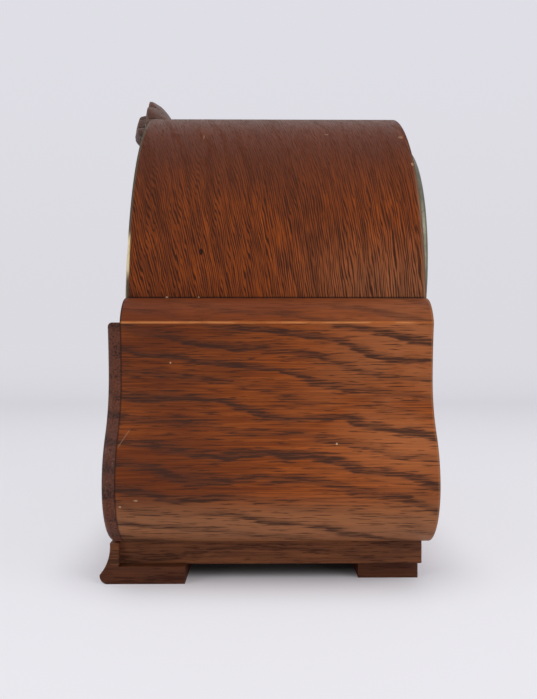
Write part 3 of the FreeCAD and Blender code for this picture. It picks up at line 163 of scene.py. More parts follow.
def oak(wire, along, across, deep, tones, ring_gap, slant, pore_length, pore_gap, pore_from, contrast=1.0,
        bands=0.55, tints_and_painted_light=()):
    """Oak colour, roughness and height from tones, which are light, brown, dark and pore colours: each
    growth ring starts in a band of dark early wood and fades, and short thin pores along the grain crowd
    in that band. The lower pore_from is, the more pores there are outside the bands. The last argument gives
    masks and the tones under them, which colour the wood between its pores: tints, and painted shade, light
    and sheen."""
    light, brown, dark, ink = tones
    # The rings bend in a slow drift, wander a little, and fray at the length of a pore.
    drift = wire.noise(along * 0.010, across * 0.020, deep * 0.020, 2.0, 0.45) - 0.5
    wander = wire.noise(along * 0.045, across * 0.10, deep * 0.10, 2.0, 0.5) - 0.5
    fray = wire.noise(along / pore_length, across * 0.9, deep * 0.9, 1.0, 0.5) - 0.5
    bent = across + along * slant + drift * (ring_gap * 3.6)
    bent = bent + wander * (ring_gap * 0.8) + fray * (ring_gap * 0.4)
    keep_positive = 64.0
    ring = wire.math("FRACT", bent / ring_gap + keep_positive)
    early = ring.step(0.0, 0.16) * ring.step(0.62, 0.22)
    strong = wire.noise(along * 0.009, bent * 0.09, deep * 0.02, 1.0, 0.5).step(0.34, 0.62)
    band = early * (strong * 0.75 + 0.25)
    fibre = wire.noise(along * 0.035, across * 1.3, deep * 1.3, 3.0, 0.65)
    cloud = wire.noise(along * 0.013, across * 0.022, deep * 0.022, 2.0, 0.5)
    dash = wire.noise(along / pore_length, across / pore_gap, deep / pore_gap, 2.0, 0.5)
    pore = (dash + band * 0.14).step(pore_from, pore_from + 0.13)
    colour = wire.mix(fibre.step(0.34, 0.68), brown, light)
    colour = wire.mix(cloud.step(0.42, 0.72) * 0.35, colour, dark)
    for mask, tone in tints_and_painted_light:
        colour = wire.mix(mask, colour, tone)
    colour = wire.mix(band * (bands * contrast), colour, dark)
    colour = wire.mix(pore * (0.8 * contrast), colour, ink)
    gloss = 0.42 + fibre * 0.12 + pore * 0.2
    height = fibre * 0.25 - pore
    return colour, gloss, height


def oval(y, z, at_y, at_z, half_width, half_height):
    """0 in the middle of an oval and 1 on its edge, growing with the square of the distance."""
    dy = (y - at_y) / half_width
    dz = (z - at_z) / half_height
    return dy * dy + dz * dz


def flecked(wire, colour, x, y, z, flecks, tone):
    """Lays torn light flecks over a colour on the right-hand side. Each fleck is an oval given by its place
    in y and z, its half width, its half height and its strength."""
    torn = wire.noise(y * 1.3, z * 1.3, 0.0, 2.0, 0.6).step(0.3, 0.5) * x.step(0.0, 1.0)
    for *place_and_size, strength in flecks:
        colour = wire.mix(oval(y, z, *place_and_size).step(1.0, 0.3) * torn * strength, colour, tone)
    return colour


block_low, block_high = corners("side_block_right")
front_face = block_low[1]
back_face = block_high[1]
arris_side = 118.0
arris_height = corners("front_panel")[1][2]
block_tones = (srgb(160, 82, 32), srgb(116, 56, 23), srgb(72, 45, 34), srgb(60, 38, 29))
block_oak, shader, w, (x, y, z) = finish("stained oak block", Specular_IOR_Level=0.11)
front_cloud = w.noise(y * 0.02, z * 0.03, x * 0.03, 3.0, 0.6)
back_cloud = w.noise(y * 0.03, z * 0.05, x * 0.05, 3.0, 0.6)
# Painted shade darkens the front of the block in patches, painted light brightens its upper back, and a
# painted reflection of the floor lightens its bottom.
handling_and_painted_shade = y.step(25.0, -45.0) * front_cloud.step(0.15, 0.6)
painted_light_at_back = y.step(0.0, 55.0) * z.step(25.0, 60.0) * back_cloud.step(0.2, 0.6)
painted_floor_sheen = z.step(41.0, 27.0)
shoulder = z.step(arris_height - 0.3, arris_height + 0.9)
block_tints_and_painted_light = [(handling_and_painted_shade * 0.7, srgb(84, 38, 20)), (painted_light_at_back * 0.6, srgb(178, 109, 66)),
                (painted_floor_sheen * 0.65, srgb(170, 116, 78)), (shoulder * 0.45, srgb(112, 54, 30))]
colour, gloss, height = oak(w, y, z, x, block_tones, ring_gap=8.0, slant=0.16, pore_length=9.0, pore_gap=0.55,
                            pore_from=0.56, contrast=1.0 - shoulder * 0.45, bands=0.64, tints_and_painted_light=block_tints_and_painted_light)
out = w.math("ABSOLUTE", x) - arris_side
up = z - arris_height
from_arris = w.math("SQRT", out * out + up * up)
patchy = w.noise(y * 0.10, z * 0.3, x * 0.3, 3.0, 0.6)
worn = from_arris.step(0.55, 0.15) * patchy.step(0.38, 0.56)
back_arris = y.step(back_face - 1.05, back_face - 0.35)
end_grain = y.step(back_face - 0.15, back_face - 0.01)
at_panel = y.step(front_face + 0.85, front_face + 0.15)
# A painted highlight runs along the arris under the shoulder, and the next mix adds worn pale wood in
# patches.
colour = w.mix(from_arris.step(0.8, 0.2) * 0.8, colour, srgb(176, 98, 46))
colour = w.mix(worn * 0.7, colour, srgb(204, 134, 80))
colour = w.mix(back_arris * 0.35, colour, srgb(176, 128, 92))
colour = w.mix(end_grain * 0.6, colour, srgb(88, 50, 31))
colour = w.mix(at_panel * 0.8, colour, srgb(34, 20, 15))
bare_wood = srgb(196, 160, 126)
block_flecks = [(-38.6, 86.9, 0.42, 0.42, 0.9), (24.4, 56.8, 0.42, 0.5, 1.0), (-50.0, 36.4, 1.1, 0.4, 0.55),
                (-55.8, 34.0, 0.6, 0.5, 0.6)]
colour = flecked(w, colour, x, y, z, block_flecks, bare_wood)
scratch_y = -55.1
scratch_z = 58.8
scratch_run = 4.0
scratch_rise = 6.6
scratch_length = 7.7
across_scratch = (y - scratch_y) * scratch_rise - (z - scratch_z) * scratch_run
from_scratch = w.math("ABSOLUTE", across_scratch) / scratch_length
scratch = from_scratch.step(0.22, 0.08) * z.between(scratch_z - 3.0, scratch_z + 3.0, 0.5) * x.step(0.0, 1.0)
colour = w.mix(scratch * 0.35, colour, srgb(176, 140, 112))
feed(w, shader, Base_Color=colour, Roughness=gloss, Normal=w.bump(height, 0.00010))
dress(block_oak, "side_block_right", "side_block_left")


# Arched hood: thin board bent over the frame and veneered, the grain running round the arch on a slant.
# Its lower edge meets the shoulders in a dark glue line, and its ends show the plies.
# The top has a painted grey sheen; painted shade darkens the front and upper part, and painted light the
# lower back.
# The front arris is painted with a grey-green reflection, and on its lower part with a cream highlight.
def polar(wire, x, z):
    """Distance from the arch's centre line, and the turn from upright in radians."""
    rise = z - arch_centre
    return wire.math("SQRT", x * x + rise * rise), wire.math("ARCTAN2", x, rise)


hood_low, hood_high = corners("arch_hood")
dial_low, dial_high = corners("dial_plate")
arch_centre = (dial_low[2] + dial_high[2]) / 2
arch_radius = round(math.hypot(hood_high[0], hood_low[2] - arch_centre), 2)
hood_tones = (srgb(158, 77, 27), srgb(120, 55, 21), srgb(74, 38, 24), srgb(50, 28, 20))
painted_shade_tone = srgb(84, 40, 23)
hood_oak, shader, w, (x, y, z) = finish("stained oak veneer", Specular_IOR_Level=0.07)
reach, turn = polar(w, x, z)
round_arch = turn * arch_radius
grain_y = y - round_arch * (y.step(70.0, -70.0) * 0.24 + 0.08)
front_cloud = w.noise(y * 0.02, round_arch * 0.03, 0.0, 3.0, 0.6)
# Painted shade darkens the hood towards the front in patches and over its upper part, painted light brightens
# its lower back, and a painted grey sheen lies on its top.
handling_and_painted_shade = y.step(-15.0, -60.0) * front_cloud.step(0.3, 0.6)
upper = z.step(140.0, 185.0)
painted_light_at_back = y.step(-10.0, 50.0) * z.step(150.0, 112.0)
painted_top_sheen = z.step(188.0, 209.0)
strength = z.step(196.0, 140.0) * 0.68 + 0.32
hood_painted_shading = [(handling_and_painted_shade * 0.5, painted_shade_tone), (upper * 0.75, painted_shade_tone), (painted_light_at_back * 0.5, srgb(162, 108, 74)),
               (painted_top_sheen * 0.55, srgb(126, 106, 97))]
colour, gloss, height = oak(w, round_arch, grain_y, 0.0, hood_tones, ring_gap=11.0, slant=0.0,
                            pore_length=7.0, pore_gap=0.5, pore_from=0.52, contrast=strength * 0.4,
                            bands=0.3, tints_and_painted_light=hood_painted_shading)
comb_gap = 1.15
sway = w.noise(round_arch * 0.022, y * 0.16, 0.0, 3.0, 0.5) * 6.0
comb = w.math("SINE", (grain_y / comb_gap + sway) * (2 * math.pi))
broken = w.noise(round_arch / 14.0, grain_y / 1.4, 4.0, 2.0, 0.5)
streak = (comb * 0.2 + broken).step(0.44, 0.7)
colour = w.mix(streak * strength * 0.9, colour, srgb(52, 28, 19))
height = height - streak * 0.7
knot = oval(y, z, -28.1, 131.4, 0.9, 1.6).step(1.0, 0.45) * x.step(0.0, 1.0)
colour = w.mix(knot * 0.9, colour, srgb(24, 14, 12))
glue_line = z.step(hood_low[2] + 1.0, hood_low[2] + 0.2)
colour = w.mix(glue_line * 0.85, colour, srgb(30, 18, 14))
ply_gap = 1.5
plies = w.math("SINE", reach * (2 * math.pi / ply_gap) + w.noise(round_arch * 0.2, reach, 0.0) * 3.0)
end_tone = w.mix(plies.step(-0.6, 0.9), srgb(92, 50, 30), srgb(62, 35, 24))
front_end = y.step(front_face + 0.45, front_face + 0.05)
back_end = y.step(back_face - 0.45, back_face - 0.05)
colour = w.mix(w.math("MAXIMUM", front_end, back_end) * 0.9, colour, end_tone)
outer_edge = reach.step(arch_radius - 1.4, arch_radius - 0.8)
front_arris = y.step(front_face + 1.25, front_face + 0.55) * outer_edge
back_arris = y.step(back_face - 1.65, back_face - 0.45) * outer_edge * z.step(195.0, 150.0)
# The front arris is painted grey-green as a reflection, with a painted cream highlight on its lower part.
cream_highlight_band = z.step(141.0, 136.0) * z.step(119.0, 125.0)
painted_rim_reflection = w.mix(cream_highlight_band, srgb(92, 86, 70), srgb(232, 216, 168))
colour = w.mix(front_arris * (cream_highlight_band * 0.2 + 0.75), colour, painted_rim_reflection)
colour = w.mix(back_arris * 0.45, colour, srgb(150, 118, 92))
hood_flecks = [(26.0, 190.2, 1.0, 0.4, 0.5), (59.4, 188.4, 1.3, 1.0, 0.4), (61.4, 172.0, 0.6, 1.0, 0.7),
               (-29.8, 188.0, 0.4, 2.0, 0.3), (-41.5, 112.9, 0.7, 0.4, 0.8), (-28.8, 112.9, 0.5, 0.4, 0.6)]
colour = flecked(w, colour, x, y, z, hood_flecks, bare_wood)
feed(w, shader, Base_Color=colour, Roughness=gloss, Normal=w.bump(height, 0.00010))
dress(hood_oak, "arch_hood")

# Front panel and front board: oak facing with a rounded edge, glued over the blocks, and the board behind it.
# The grain runs across the clock. The panel's sides are darker and scuffed where hands have held them.
panel_tones = (srgb(112, 64, 44), srgb(86, 49, 36), srgb(60, 37, 30), srgb(46, 30, 25))
panel_oak, shader, w, (x, y, z) = finish("stained oak facing", Specular_IOR_Level=0.16)
colour, gloss, height = oak(w, x, z, y, panel_tones, ring_gap=9.0, slant=0.08, pore_length=8.0, pore_gap=0.7,
                            pore_from=0.57)
grime = w.noise(x * 0.05, y * 0.2, z * 0.05, 3.0, 0.6)
handling_and_painted_shade = z.step(36.0, 46.0) * z.step(74.0, 58.0)
at_side = w.math("ABSOLUTE", x).step(121.0, 126.0)
scuffed = w.noise(x * 0.5, y * 0.5, z * 0.25, 4.0, 0.7).step(0.56, 0.66) * handling_and_painted_shade * at_side
colour = w.mix(grime.step(0.45, 0.75) * 0.4, colour, srgb(52, 30, 22))
colour = w.mix(handling_and_painted_shade * 0.35, colour, srgb(66, 47, 44))
colour = w.mix(scuffed * 0.5, colour, srgb(132, 106, 96))
feed(w, shader, Base_Color=colour, Roughness=gloss, Normal=w.bump(height, 0.00012))
dress(panel_oak, "front_panel", "front_board")

# Plinth and feet: plain oak, stained darker than the case, with the grain from front to back.
# The feet are glued under the plinth board, redder and darker still, the front pair with a flared toe.
foot_top = corners("front_foot_blocks")[1][2]
base_tones = (srgb(130, 78, 47), srgb(99, 58, 36), srgb(63, 37, 27), srgb(42, 25, 19))
base_oak, shader, w, (x, y, z) = finish("dark stained oak", Specular_IOR_Level=0.14)
colour, gloss, height = oak(w, y, z, x, base_tones, ring_gap=8.0, slant=0.05, pore_length=7.0, pore_gap=0.7,
                            pore_from=0.57, contrast=0.7)
feet = z.step(foot_top + 0.2, foot_top - 0.2)
colour = w.mix(feet * 0.56, colour, srgb(56, 23, 14))
feed(w, shader, Base_Color=colour, Roughness=gloss + 0.1, Normal=w.bump(height, 0.00012))
dress(base_oak, "plinth_board", "front_foot_blocks", "front_foot_toes", "rear_foot_blocks")

# Back board: thin plain board let into the arch from behind, with the door's round opening sawn in it.
# It is left unpolished, and its grain is upright.
back_wood, shader, w, (x, y, z) = finish("plain back board")
board_tones = (srgb(158, 110, 70), srgb(132, 88, 54), srgb(96, 62, 40), srgb(66, 42, 28))
colour, gloss, height = oak(w, z, x, y, board_tones, ring_gap=13.0, slant=0.06, pore_length=9.0, pore_gap=0.8,
                            pore_from=0.58, contrast=0.6)
feed(w, shader, Base_Color=colour, Roughness=gloss + 0.2, Normal=w.bump(height, 0.00015))
dress(back_wood, "back_board")


# Crest: a shell carved in the solid in two tiers of ribs, stained darker than the case.
# It is glued to the front edge of the arch and hangs a little over it.
def smooth(value, low, high):
    """Array version of the smooth rise from 0 at low to 1 at high."""
    share = np.clip((value - low) / (high - low), 0.0, 1.0)
    return share * share * (3.0 - 2.0 * share)


def add_piece(name, verts, faces, material, body, slot, sharp=40.0):
    """Mesh piece from millimetre points: doubled points are merged, faces turned outwards, and edges sharper
    than the angle stay hard. It rides on the body and takes the given material. The slot is not used."""
    mesh = bpy.data.meshes.new(name)
    mesh.from_pydata((np.asarray(verts) * 0.001).tolist(), [], faces)
    shape = bmesh.new()
    shape.from_mesh(mesh)
    bmesh.ops.remove_doubles(shape, verts=shape.verts, dist=1e-6)
    bmesh.ops.dissolve_degenerate(shape, edges=shape.edges, dist=1e-7)
    bmesh.ops.recalc_face_normals(shape, faces=shape.faces)
    shape.to_mesh(mesh)
    shape.free()
    mesh.polygons.foreach_set("use_smooth", np.ones(len(mesh.polygons), bool))
    mesh.set_sharp_from_angle(angle=math.radians(sharp))
    mesh.materials.append(material)
    piece = bpy.data.objects.new(name, mesh)
    bpy.context.scene.collection.objects.link(piece)
    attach(piece, body)
    return piece


def grid_faces(rows, columns):
    """Quads of a grid whose points run along the columns first."""
    start = (np.arange(rows - 1)[:, None] * columns + np.arange(columns - 1)[None, :]).reshape(-1, 1)
    return (start + np.array([[0, columns, columns + 1, 1]])).tolist()


def carved_crest(upper_ribs=7, lower_ribs=5, steps=181):
    """Section swept round half a turn about the line of sight at the crest's foot. At each angle it runs
    from the middle of the front out to the lobed edge, back in a round to the arch, and in along the case.
    Ribs and tiers lower the front: a cusp between two ribs is where the sine of their count is zero.
    The lower tier is a ball's cap and the upper tier a shallow bow. The seat is where the arch cuts the
    ray."""
    edge_low = 20.9
    lobe_depth = 2.85
    cap_height = 15.0
    cap_radius = 36.25
    rib_depth = 2.3
    groove_radius = 6.0
    groove_width = 0.8
    groove_depth = 0.9
    bow_height = 7.2
    bow_radius = 16.0
    cusp_depth = 2.0
    foot_drop = 2.4
    lobe_edge = 23.9
    lobe_out = 5.0
    edge_lean = 1.614
    overlap = 6.2
    foot = corners("crest")[0][2]
    foot_rise = foot - arch_centre
    turn = np.linspace(0.0, math.pi, steps)
    upper = np.abs(np.sin(upper_ribs * turn))
    lower = np.abs(np.sin(lower_ribs * turn))
    edge = edge_low + lobe_depth * upper ** 0.7
    along_ray = foot_rise * np.sin(turn)
    seat = np.minimum(np.sqrt(along_ray ** 2 + arch_radius ** 2 - foot_rise ** 2) - along_ray, edge)
    share = np.linspace(0.0, 1.0, 56)[:, None]
    reach = share * edge
    low_tier = cap_height - cap_radius + np.sqrt(cap_radius ** 2 - reach ** 2)
    low_tier = low_tier - rib_depth * (1.0 - lower) ** 1.6 * smooth(share, 0.16, 0.5)
    low_tier = low_tier - groove_depth * np.exp(-((reach - groove_radius) / groove_width) ** 2)
    high_tier = bow_height - 1.6 * ((reach - bow_radius) / 8.0) ** 2 - cusp_depth * (1.0 - upper) ** 1.6
    tier_edge = 0.62 + 0.07 * lower
    front_out = low_tier + (high_tier - low_tier) * smooth(share, tier_edge, tier_edge + 0.05)
    front_out = front_out - foot_drop * (1.0 - smooth(reach * np.sin(turn), 0.0, 3.2))
    inward = np.linspace(0.0, 1.0, 10)[:, None]
    back_reach = edge + (seat - edge) * inward
    edge_out = lobe_out - (lobe_edge - edge) * edge_lean
    lap = (edge_out + overlap) * smooth(edge - seat, 0.0, 6.0)
    back_out = edge_out - lap * (1.0 - (1.0 - inward) ** 1.8)
    still = np.zeros_like(edge)
    reach = np.concatenate([reach, back_reach, [seat, still]])
    out = np.concatenate([front_out, back_out, [still, still]])
    verts = np.stack([reach * np.cos(turn), front_face - out, foot + reach * np.sin(turn)], 2)
    rows = len(reach)
    ends = [list(range(0, rows * steps, steps)), list(range(steps - 1, rows * steps, steps))]
    return verts.reshape(-1, 3), grid_faces(rows, steps) + ends


crest_tones = (srgb(100, 66, 50), srgb(78, 48, 36), srgb(50, 32, 26), srgb(34, 22, 19))
carved_oak, shader, w, (x, y, z) = finish("stained carving", Specular_IOR_Level=0.32)
colour, gloss, height = oak(w, x, z, y, crest_tones, ring_gap=7.0, slant=0.08, pore_length=6.0, pore_gap=0.7,
                            pore_from=0.57, contrast=0.7)
rub = w.noise(x * 0.3, y * 0.3, z * 0.3, 3.0, 0.6)
colour = w.mix(rub.step(0.5, 0.75) * 0.4, colour, srgb(112, 78, 60))
feed(w, shader, Base_Color=colour, Roughness=gloss, Normal=w.bump(height, 0.0001))
dress(carved_oak, "crest")
carving = add_piece("carved_crest", *carved_crest(), carved_oak, "case", "carved_wood")
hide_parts("crest")


# Dial: silvered sheet, let into the front board and held by three screws.
# The minute track and the figures are printed on it in black, and the silvering has yellowed in clouds.
def numerals(radius, size, front, sheet):
    """Figures 1 to 12 stood upright round the dial: each is a flat letter shape, filled and made a mesh."""
    verts = []
    faces = []
    used = 0
    for hour in range(1, 13):
        letters = bpy.data.curves.new("figure", "FONT")
        letters.body = str(hour)
        letters.size = size
        letters.align_x = "CENTER"
        letters.align_y = "CENTER"
        letters.extrude = sheet
        figure = bpy.data.objects.new("figure", letters)
        bpy.context.scene.collection.objects.link(figure)
        made = bpy.data.meshes.new_from_object(figure.evaluated_get(bpy.context.evaluated_depsgraph_get()))
        flat = np.empty(len(made.vertices) * 3)
        made.vertices.foreach_get("co", flat)
        flat = flat.reshape(-1, 3)
        angle = math.radians(30.0 * hour)
        verts.append(np.stack([flat[:, 0] + radius * math.sin(angle), front - flat[:, 2],
                               arch_centre + radius * math.cos(angle) + flat[:, 1]], 1))
        faces += [[used + k for k in face.vertices] for face in made.polygons]
        used += len(flat)
        bpy.data.objects.remove(figure)
        bpy.data.curves.remove(letters)
        bpy.data.meshes.remove(made)
    return np.concatenate(verts), faces


line_radius = 70.6
dial_metal, shader, w, (x, y, z) = finish("silvered dial", Metallic=0.0)
reach, turn = polar(w, x, z)
share = turn / (2 * math.pi) + 1.0
minute = w.math("FRACT", share * 60.0 + 0.5) - 0.5
five = w.math("FRACT", share * 12.0 + 0.5) - 0.5
mark = w.math("ABSOLUTE", minute).step(0.09, 0.06) * reach.between(67.3, 70.1, 0.1)
bold = w.math("ABSOLUTE", five).step(0.032, 0.024) * reach.between(66.5, 70.7, 0.1)
line = w.math("ABSOLUTE", reach - line_radius).step(0.3, 0.2)
ink = w.math("MAXIMUM", w.math("MAXIMUM", mark, bold), line)
spun = w.noise(reach * 3.0, share * 0.4, 0.0, 2.0, 0.5)
age = w.noise(x * 0.06, z * 0.06, 0.0, 4.0, 0.6)
silver = w.mix(spun, srgb(206, 200, 186), srgb(222, 217, 204))
silver = w.mix(age.step(0.5, 0.8) * 0.45, silver, srgb(176, 160, 130))
feed(w, shader, Base_Color=w.mix(ink, silver, srgb(26, 24, 24)), Roughness=0.38 + age * 0.2)
dress(dial_metal, "dial_plate")

dial_ink, shader, w, (x, y, z) = finish("dial ink", Specular_IOR_Level=0.3)
thin = w.noise(x * 0.5, y * 0.5, z * 0.5, 3.0, 0.6)
colour = w.mix(thin.step(0.55, 0.85), srgb(24, 22, 22), srgb(52, 48, 44))
feed(w, shader, Base_Color=colour, Roughness=0.5 + thin * 0.2)
figures = numerals(radius=57.5, size=14.0, front=dial_low[1] - 0.05, sheet=0.04)
add_piece("dial_numerals", *figures, dial_ink, "case", "dial_metal", 30.0)


# Bezel, hinges and turn button: spun and pressed brass, its lacquer worn to a dull grey green.
# The bezel and the back door hang on pins. The leaves are screwed to the case and the straps riveted on.
def domed_head(x, y, z, facing, radius, rise, slot, turn):
    """Head that faces along the line of sight: its height falls with the square of the radius, a straight
    slot of the given half width is cut across it, and its skirt goes just into the sheet below."""
    rim_fall = 0.75
    slot_depth = 0.7
    skirt = 0.05
    ring = np.concatenate([np.linspace(0.0, 1.0, 26), [1.0]])[:, None] * radius
    angle = np.linspace(0.0, 2 * math.pi, 97)[None, :]
    across = ring * np.cos(angle)
    along = ring * np.sin(angle)
    from_slot = np.abs(across * math.cos(turn) + along * math.sin(turn))
    cut = (from_slot < slot) * (ring < 0.99 * radius)
    height = rise * (1.0 - rim_fall * (ring / radius) ** 2) - slot_depth * rise * cut
    height[-1] = -skirt
    verts = np.stack([x + across, y + facing * height, z + along], 2)
    return verts.reshape(-1, 3), grid_faces(*height.shape)


def add_heads(name, heads, material, body, slot):
    """One piece of several heads, each given as domed_head takes it."""
    verts = []
    faces = []
    used = 0
    for head in heads:
        points, quads = domed_head(*head)
        verts.append(points)
        faces += (np.array(quads) + used).tolist()
        used += len(points)
    return add_piece(name, np.concatenate(verts), faces, material, body, slot)


bezel_brass, shader, w, (x, y, z) = finish("dull brass", Metallic=1.0)
cloud = w.noise(x * 0.07, y * 0.07, z * 0.07, 4.0, 0.6)
speck = w.noise(x * 0.9, y * 0.9, z * 0.9, 2.0, 0.6)
colour = w.mix(cloud.step(0.3, 0.7), srgb(196, 184, 150), srgb(150, 146, 122))
colour = w.mix(speck.step(0.58, 0.75) * 0.5, colour, srgb(104, 98, 76))
feed(w, shader, Base_Color=colour, Roughness=0.3 + cloud * 0.25)
dress(bezel_brass, "bezel_ring", "glass_ring", "bezel_strap", "bezel_hinge_leaf", "door_hinge_leaf",
      "door_strap", "turn_button")
leaf_sheet = 1.2
door_sheet = 0.9
no_slot = -1.0
leaf_front = front_face - leaf_sheet
leaf_back = back_face + leaf_sheet
strap_front = corners("bezel_ring")[0][1] - leaf_sheet
strap_back = leaf_back + door_sheet
hinge_heads = [(-91.5, leaf_front, 115.4, -1, 1.9, 0.8, 0.3, 0.5),
               (-91.5, leaf_front, 127.2, -1, 1.9, 0.8, 0.3, 2.2),
               (-83.0, leaf_back, 121.0, 1, 2.1, 0.8, 0.3, 1.1),
               (-83.0, leaf_back, 147.0, 1, 2.1, 0.8, 0.3, 2.6)]
bezel_heads = [(-79.0, strap_front, 121.3, -1, 1.3, 0.5, no_slot, 0.0)]
door_heads = [(-69.2, strap_back, 130.8, 1, 1.2, 0.5, no_slot, 0.0),
              (-69.2, strap_back, 137.2, 1, 1.2, 0.5, no_slot, 0.0)]
add_heads("hinge_screws", hinge_heads, bezel_brass, "case", "bezel_brass")
add_heads("bezel_rivet", bezel_heads, bezel_brass, "bezel", "bezel_brass")
add_heads("door_rivets", door_heads, bezel_brass, "door", "bezel_brass")

# Bezel glass: a clear convex glass, pressed into the bezel and held there by a ring.
# It is a little smeared.
clear_glass, shader, w, (x, y, z) = finish("clear glass", Transmission_Weight=1.0, IOR=1.5,
                                           Base_Color=(0.96, 0.98, 0.97, 1.0))
smear = w.noise(x * 0.05, y * 0.05, z * 0.05, 3.0, 0.6)
feed(w, shader, Roughness=smear.step(0.55, 0.8) * 0.08 + 0.015)
dress(clear_glass, "bezel_glass")

# Back door: a round dish of pressed sheet, with slots that let the sound out.
# Its plating has dulled to a dark grey green with specks.
door_metal, shader, w, (x, y, z) = finish("aged door sheet", Metallic=0.85)
cloud = w.noise(x * 0.05, y * 0.05, z * 0.05, 4.0, 0.6)
speck = w.noise(x * 0.7, y * 0.7, z * 0.7, 3.0, 0.6)
colour = w.mix(cloud.step(0.3, 0.7), srgb(112, 110, 94), srgb(80, 80, 68))
colour = w.mix(speck.step(0.56, 0.74) * 0.6, colour, srgb(56, 54, 45))
feed(w, shader, Base_Color=colour, Roughness=0.38 + cloud * 0.2, Normal=w.bump(speck, 0.00006))
dress(door_metal, "back_door")

# Movement: plates, pillars, wheels, barrel and pendulum bob, all of brass sheet, rod and castings.
# The brass is grained in one direction and has tarnished in clouds. It stands on posts on the front board.
movement_brass, shader, w, (x, y, z) = finish("grained brass", Metallic=1.0)
grain = w.noise(x * 0.3, y * 3.0, z * 6.0, 2.0, 0.5)
tarnish = w.noise(x * 0.05, y * 0.05, z * 0.05, 4.0, 0.6)
colour = w.mix(tarnish.step(0.35, 0.75), srgb(208, 172, 98), srgb(160, 124, 62))
feed(w, shader, Base_Color=colour, Roughness=0.24 + grain * 0.22, Normal=w.bump(grain, 0.00002))
dress(movement_brass, "front_plate", "back_plate", "plate_pillars", "movement_posts", "pallet_cock",
      "barrel_drum", "barrel_cover", "centre_wheel", "hour_wheel", "minute_wheel", "intermediate_wheel",
      "third_wheel", "escape_wheel", "pendulum_bob", "rating_nut", "cannon_pinion", "hand_nut")

# Arbors, click, springs, anchor, pendulum rod and screws: turned, filed and polished steel.
# The arbors run in holes in the plates. The steel is a little stained in spots.
movement_steel, shader, w, (x, y, z) = finish("plain steel", Metallic=1.0)
grain = w.noise(x * 2.5, y * 0.3, z * 2.5, 2.0, 0.5)
spot = w.noise(x * 0.3, y * 0.3, z * 0.3, 3.0, 0.6)
colour = w.mix(spot.step(0.5, 0.75), srgb(186, 186, 188), srgb(132, 126, 118))
feed(w, shader, Base_Color=colour, Roughness=0.26 + grain * 0.2)
dress(movement_steel, "dial_screws", "bezel_hinge_pin", "door_hinge_pin", "turn_button_screw", "pillar_nuts",
      "click_stud", "click_spring", "minute_stud", "suspension_spring", "centre_arbor", "mainspring",
      "winding_arbor", "ratchet_wheel", "click", "intermediate_arbor", "third_arbor", "escape_arbor",
      "anchor", "pendulum_rod")

# Hands: stamped from thin steel sheet and blackened, with the black worn a little.
# They are pushed on the hour wheel's pipe and the cannon pinion, under a nut.
hand_black, shader, w, (x, y, z) = finish("blackened steel", Metallic=0.6)
wear = w.noise(x * 0.4, y * 0.4, z * 0.4, 3.0, 0.6)
colour = w.mix(wear.step(0.55, 0.8), srgb(30, 30, 34), srgb(58, 56, 56))
feed(w, shader, Base_Color=colour, Roughness=0.32 + wear * 0.15)
dress(hand_black, "hour_hand", "minute_hand")


# Stage: a sweep of pale paper that runs under the clock and up behind it, in soft light.
# The camera stands level at the clock's right side, as in the photograph.
def paper_sweep(parts=64):
    """Ruled sheet in metres: level to the far end of the floor, then a quarter of a circle, then upright.
    Half of its lines are on the floor, three tenths on the round and the rest on the wall."""
    floor_near = 1.6
    floor_far = -0.8
    radius = 0.7
    wall = 2.0
    half_width = 3.0
    floor_end = 0.5
    round_end = 0.8
    share = np.linspace(0.0, 1.0, parts + 1)
    bend = np.clip((share - floor_end) / (round_end - floor_end), 0.0, 1.0) * (math.pi / 2)
    on_floor = floor_near - share / floor_end * (floor_near - floor_far)
    run = np.where(share < floor_end, on_floor, floor_far - radius * np.sin(bend))
    lift = radius * (1 - np.cos(bend)) + np.clip((share - round_end) / (1.0 - round_end), 0.0, 1.0) * wall
    sides = np.tile([-half_width, half_width], parts + 1)
    verts = np.stack([np.repeat(run, 2), sides, np.repeat(lift, 2)], 1)
    faces = np.arange(parts)[:, None] * 2 + np.array([[0, 1, 3, 2]])
    return verts.tolist(), faces.tolist()


paper_verts, paper_faces = paper_sweep()
mesh = bpy.data.meshes.new("paper_sweep")
mesh.from_pydata(paper_verts, [], paper_faces)
mesh.polygons.foreach_set("use_smooth", np.ones(len(paper_faces), bool))
paper = bpy.data.objects.new("paper_sweep", mesh)
bpy.context.scene.collection.objects.link(paper)
shaded_side = 90.0
shaded_depth = 45.0
shaded_reach = 55.0
paper_white, shader, w, (x, y, z) = finish("pale paper", Roughness=0.9)
over_x = w.math("MAXIMUM", w.math("ABSOLUTE", x) - shaded_side, 0.0)
over_y = w.math("MAXIMUM", w.math("ABSOLUTE", y) - shaded_depth, 0.0)
clear = w.math("SQRT", over_x * over_x + over_y * over_y).step(0.0, shaded_reach) * 0.75
behind = w.math("MAXIMUM", x.step(-150.0, -1150.0), clear)
uneven = w.noise(x * 0.002, y * 0.002, z * 0.002)
paper_tone = w.mix(uneven, srgb(240, 239, 245), srgb(236, 235, 241))
# Under the clock the paper's colour is darkened into a painted shadow.
feed(w, shader, Base_Color=w.mix(clear.step(0.12, 0.0) * 0.8, paper_tone, srgb(120, 118, 116)))
pale = w.mix(z.step(100.0, 1000.0), srgb(219, 218, 224), srgb(223, 222, 230))
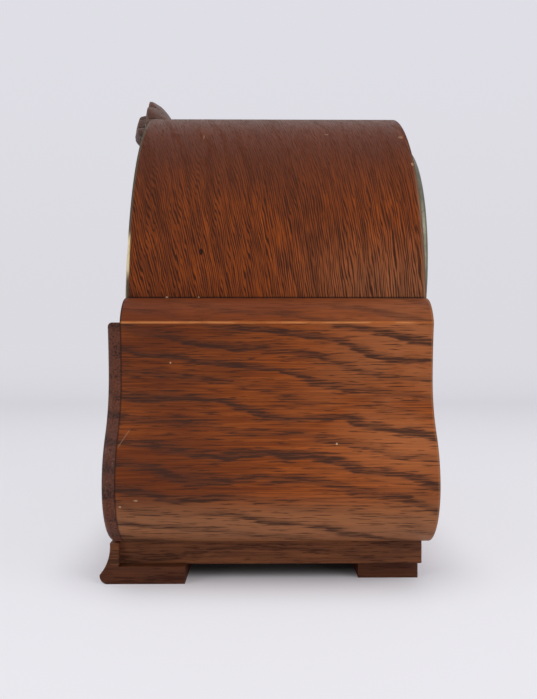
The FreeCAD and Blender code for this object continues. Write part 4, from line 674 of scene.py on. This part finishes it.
wash = w.node("Emission", Color=w.mix(x.step(-900.0, 250.0), pale, srgb(239, 238, 243)))
surface = w.node("MixShader", _0=w.seen() * behind, _1=Wire(w.tree, shader.outputs[0]), _2=wash)
w.tree.links.new(surface.socket, w.tree.nodes["Material Output"].inputs["Surface"])
mesh.materials.append(paper_white)


def lamp(name, size, power, place, target):
    """Square soft lamp that shines from place to target."""
    data = bpy.data.lights.new(name, "AREA")
    data.shape = "SQUARE"
    data.size = size
    data.energy = power
    made = bpy.data.objects.new(name, data)
    made.location = place
    aim = np.array(target) - np.array(place)
    flat = math.hypot(aim[0], aim[1])
    made.rotation_euler = (math.atan2(flat, -aim[2]), 0.0, math.atan2(-aim[0], aim[1]))
    bpy.context.scene.collection.objects.link(made)


lamp("overhead", size=1.4, power=3.0, place=(-0.1, 0.0, 1.3), target=(0.0, 0.0, 0.1))
lamp("back side", size=1.0, power=10.0, place=(0.75, 1.0, 0.6), target=(0.1, 0.0, 0.1))
lamp("front side", size=1.0, power=6.0, place=(0.7, -1.0, 0.6), target=(0.1, 0.0, 0.1))
world = bpy.data.worlds.new("studio")
world.use_nodes = True
w = Wire(world.node_tree)
toward_camera = w.node("SeparateXYZ", Vector=w.node("TexCoord"))
shade = w.mix(toward_camera.step(-0.1, 0.8), srgb(232, 232, 238), srgb(120, 120, 124))
room = w.node("Background", Color=shade, Strength=0.6)
backdrop = w.node("Background", Color=srgb(221, 220, 227), Strength=1.0)
surroundings = w.node("MixShader", _0=w.seen(), _1=room, _2=backdrop)
world.node_tree.links.new(surroundings.socket, world.node_tree.nodes["World Output"].inputs["Surface"])
bpy.context.scene.world = world

camera_place = (0.385, -0.00335, 0.092)
camera_turn = 89.5
lens = bpy.data.cameras.new("side view")
lens.lens = 36.05
lens.sensor_width = 36.0
camera = bpy.data.objects.new("side view", lens)
camera.location = camera_place
camera.rotation_euler = (math.radians(90.0), 0.0, math.radians(camera_turn))
bpy.context.scene.collection.objects.link(camera)
bpy.context.scene.camera = camera
bpy.context.scene.view_settings.view_transform = "Standard"
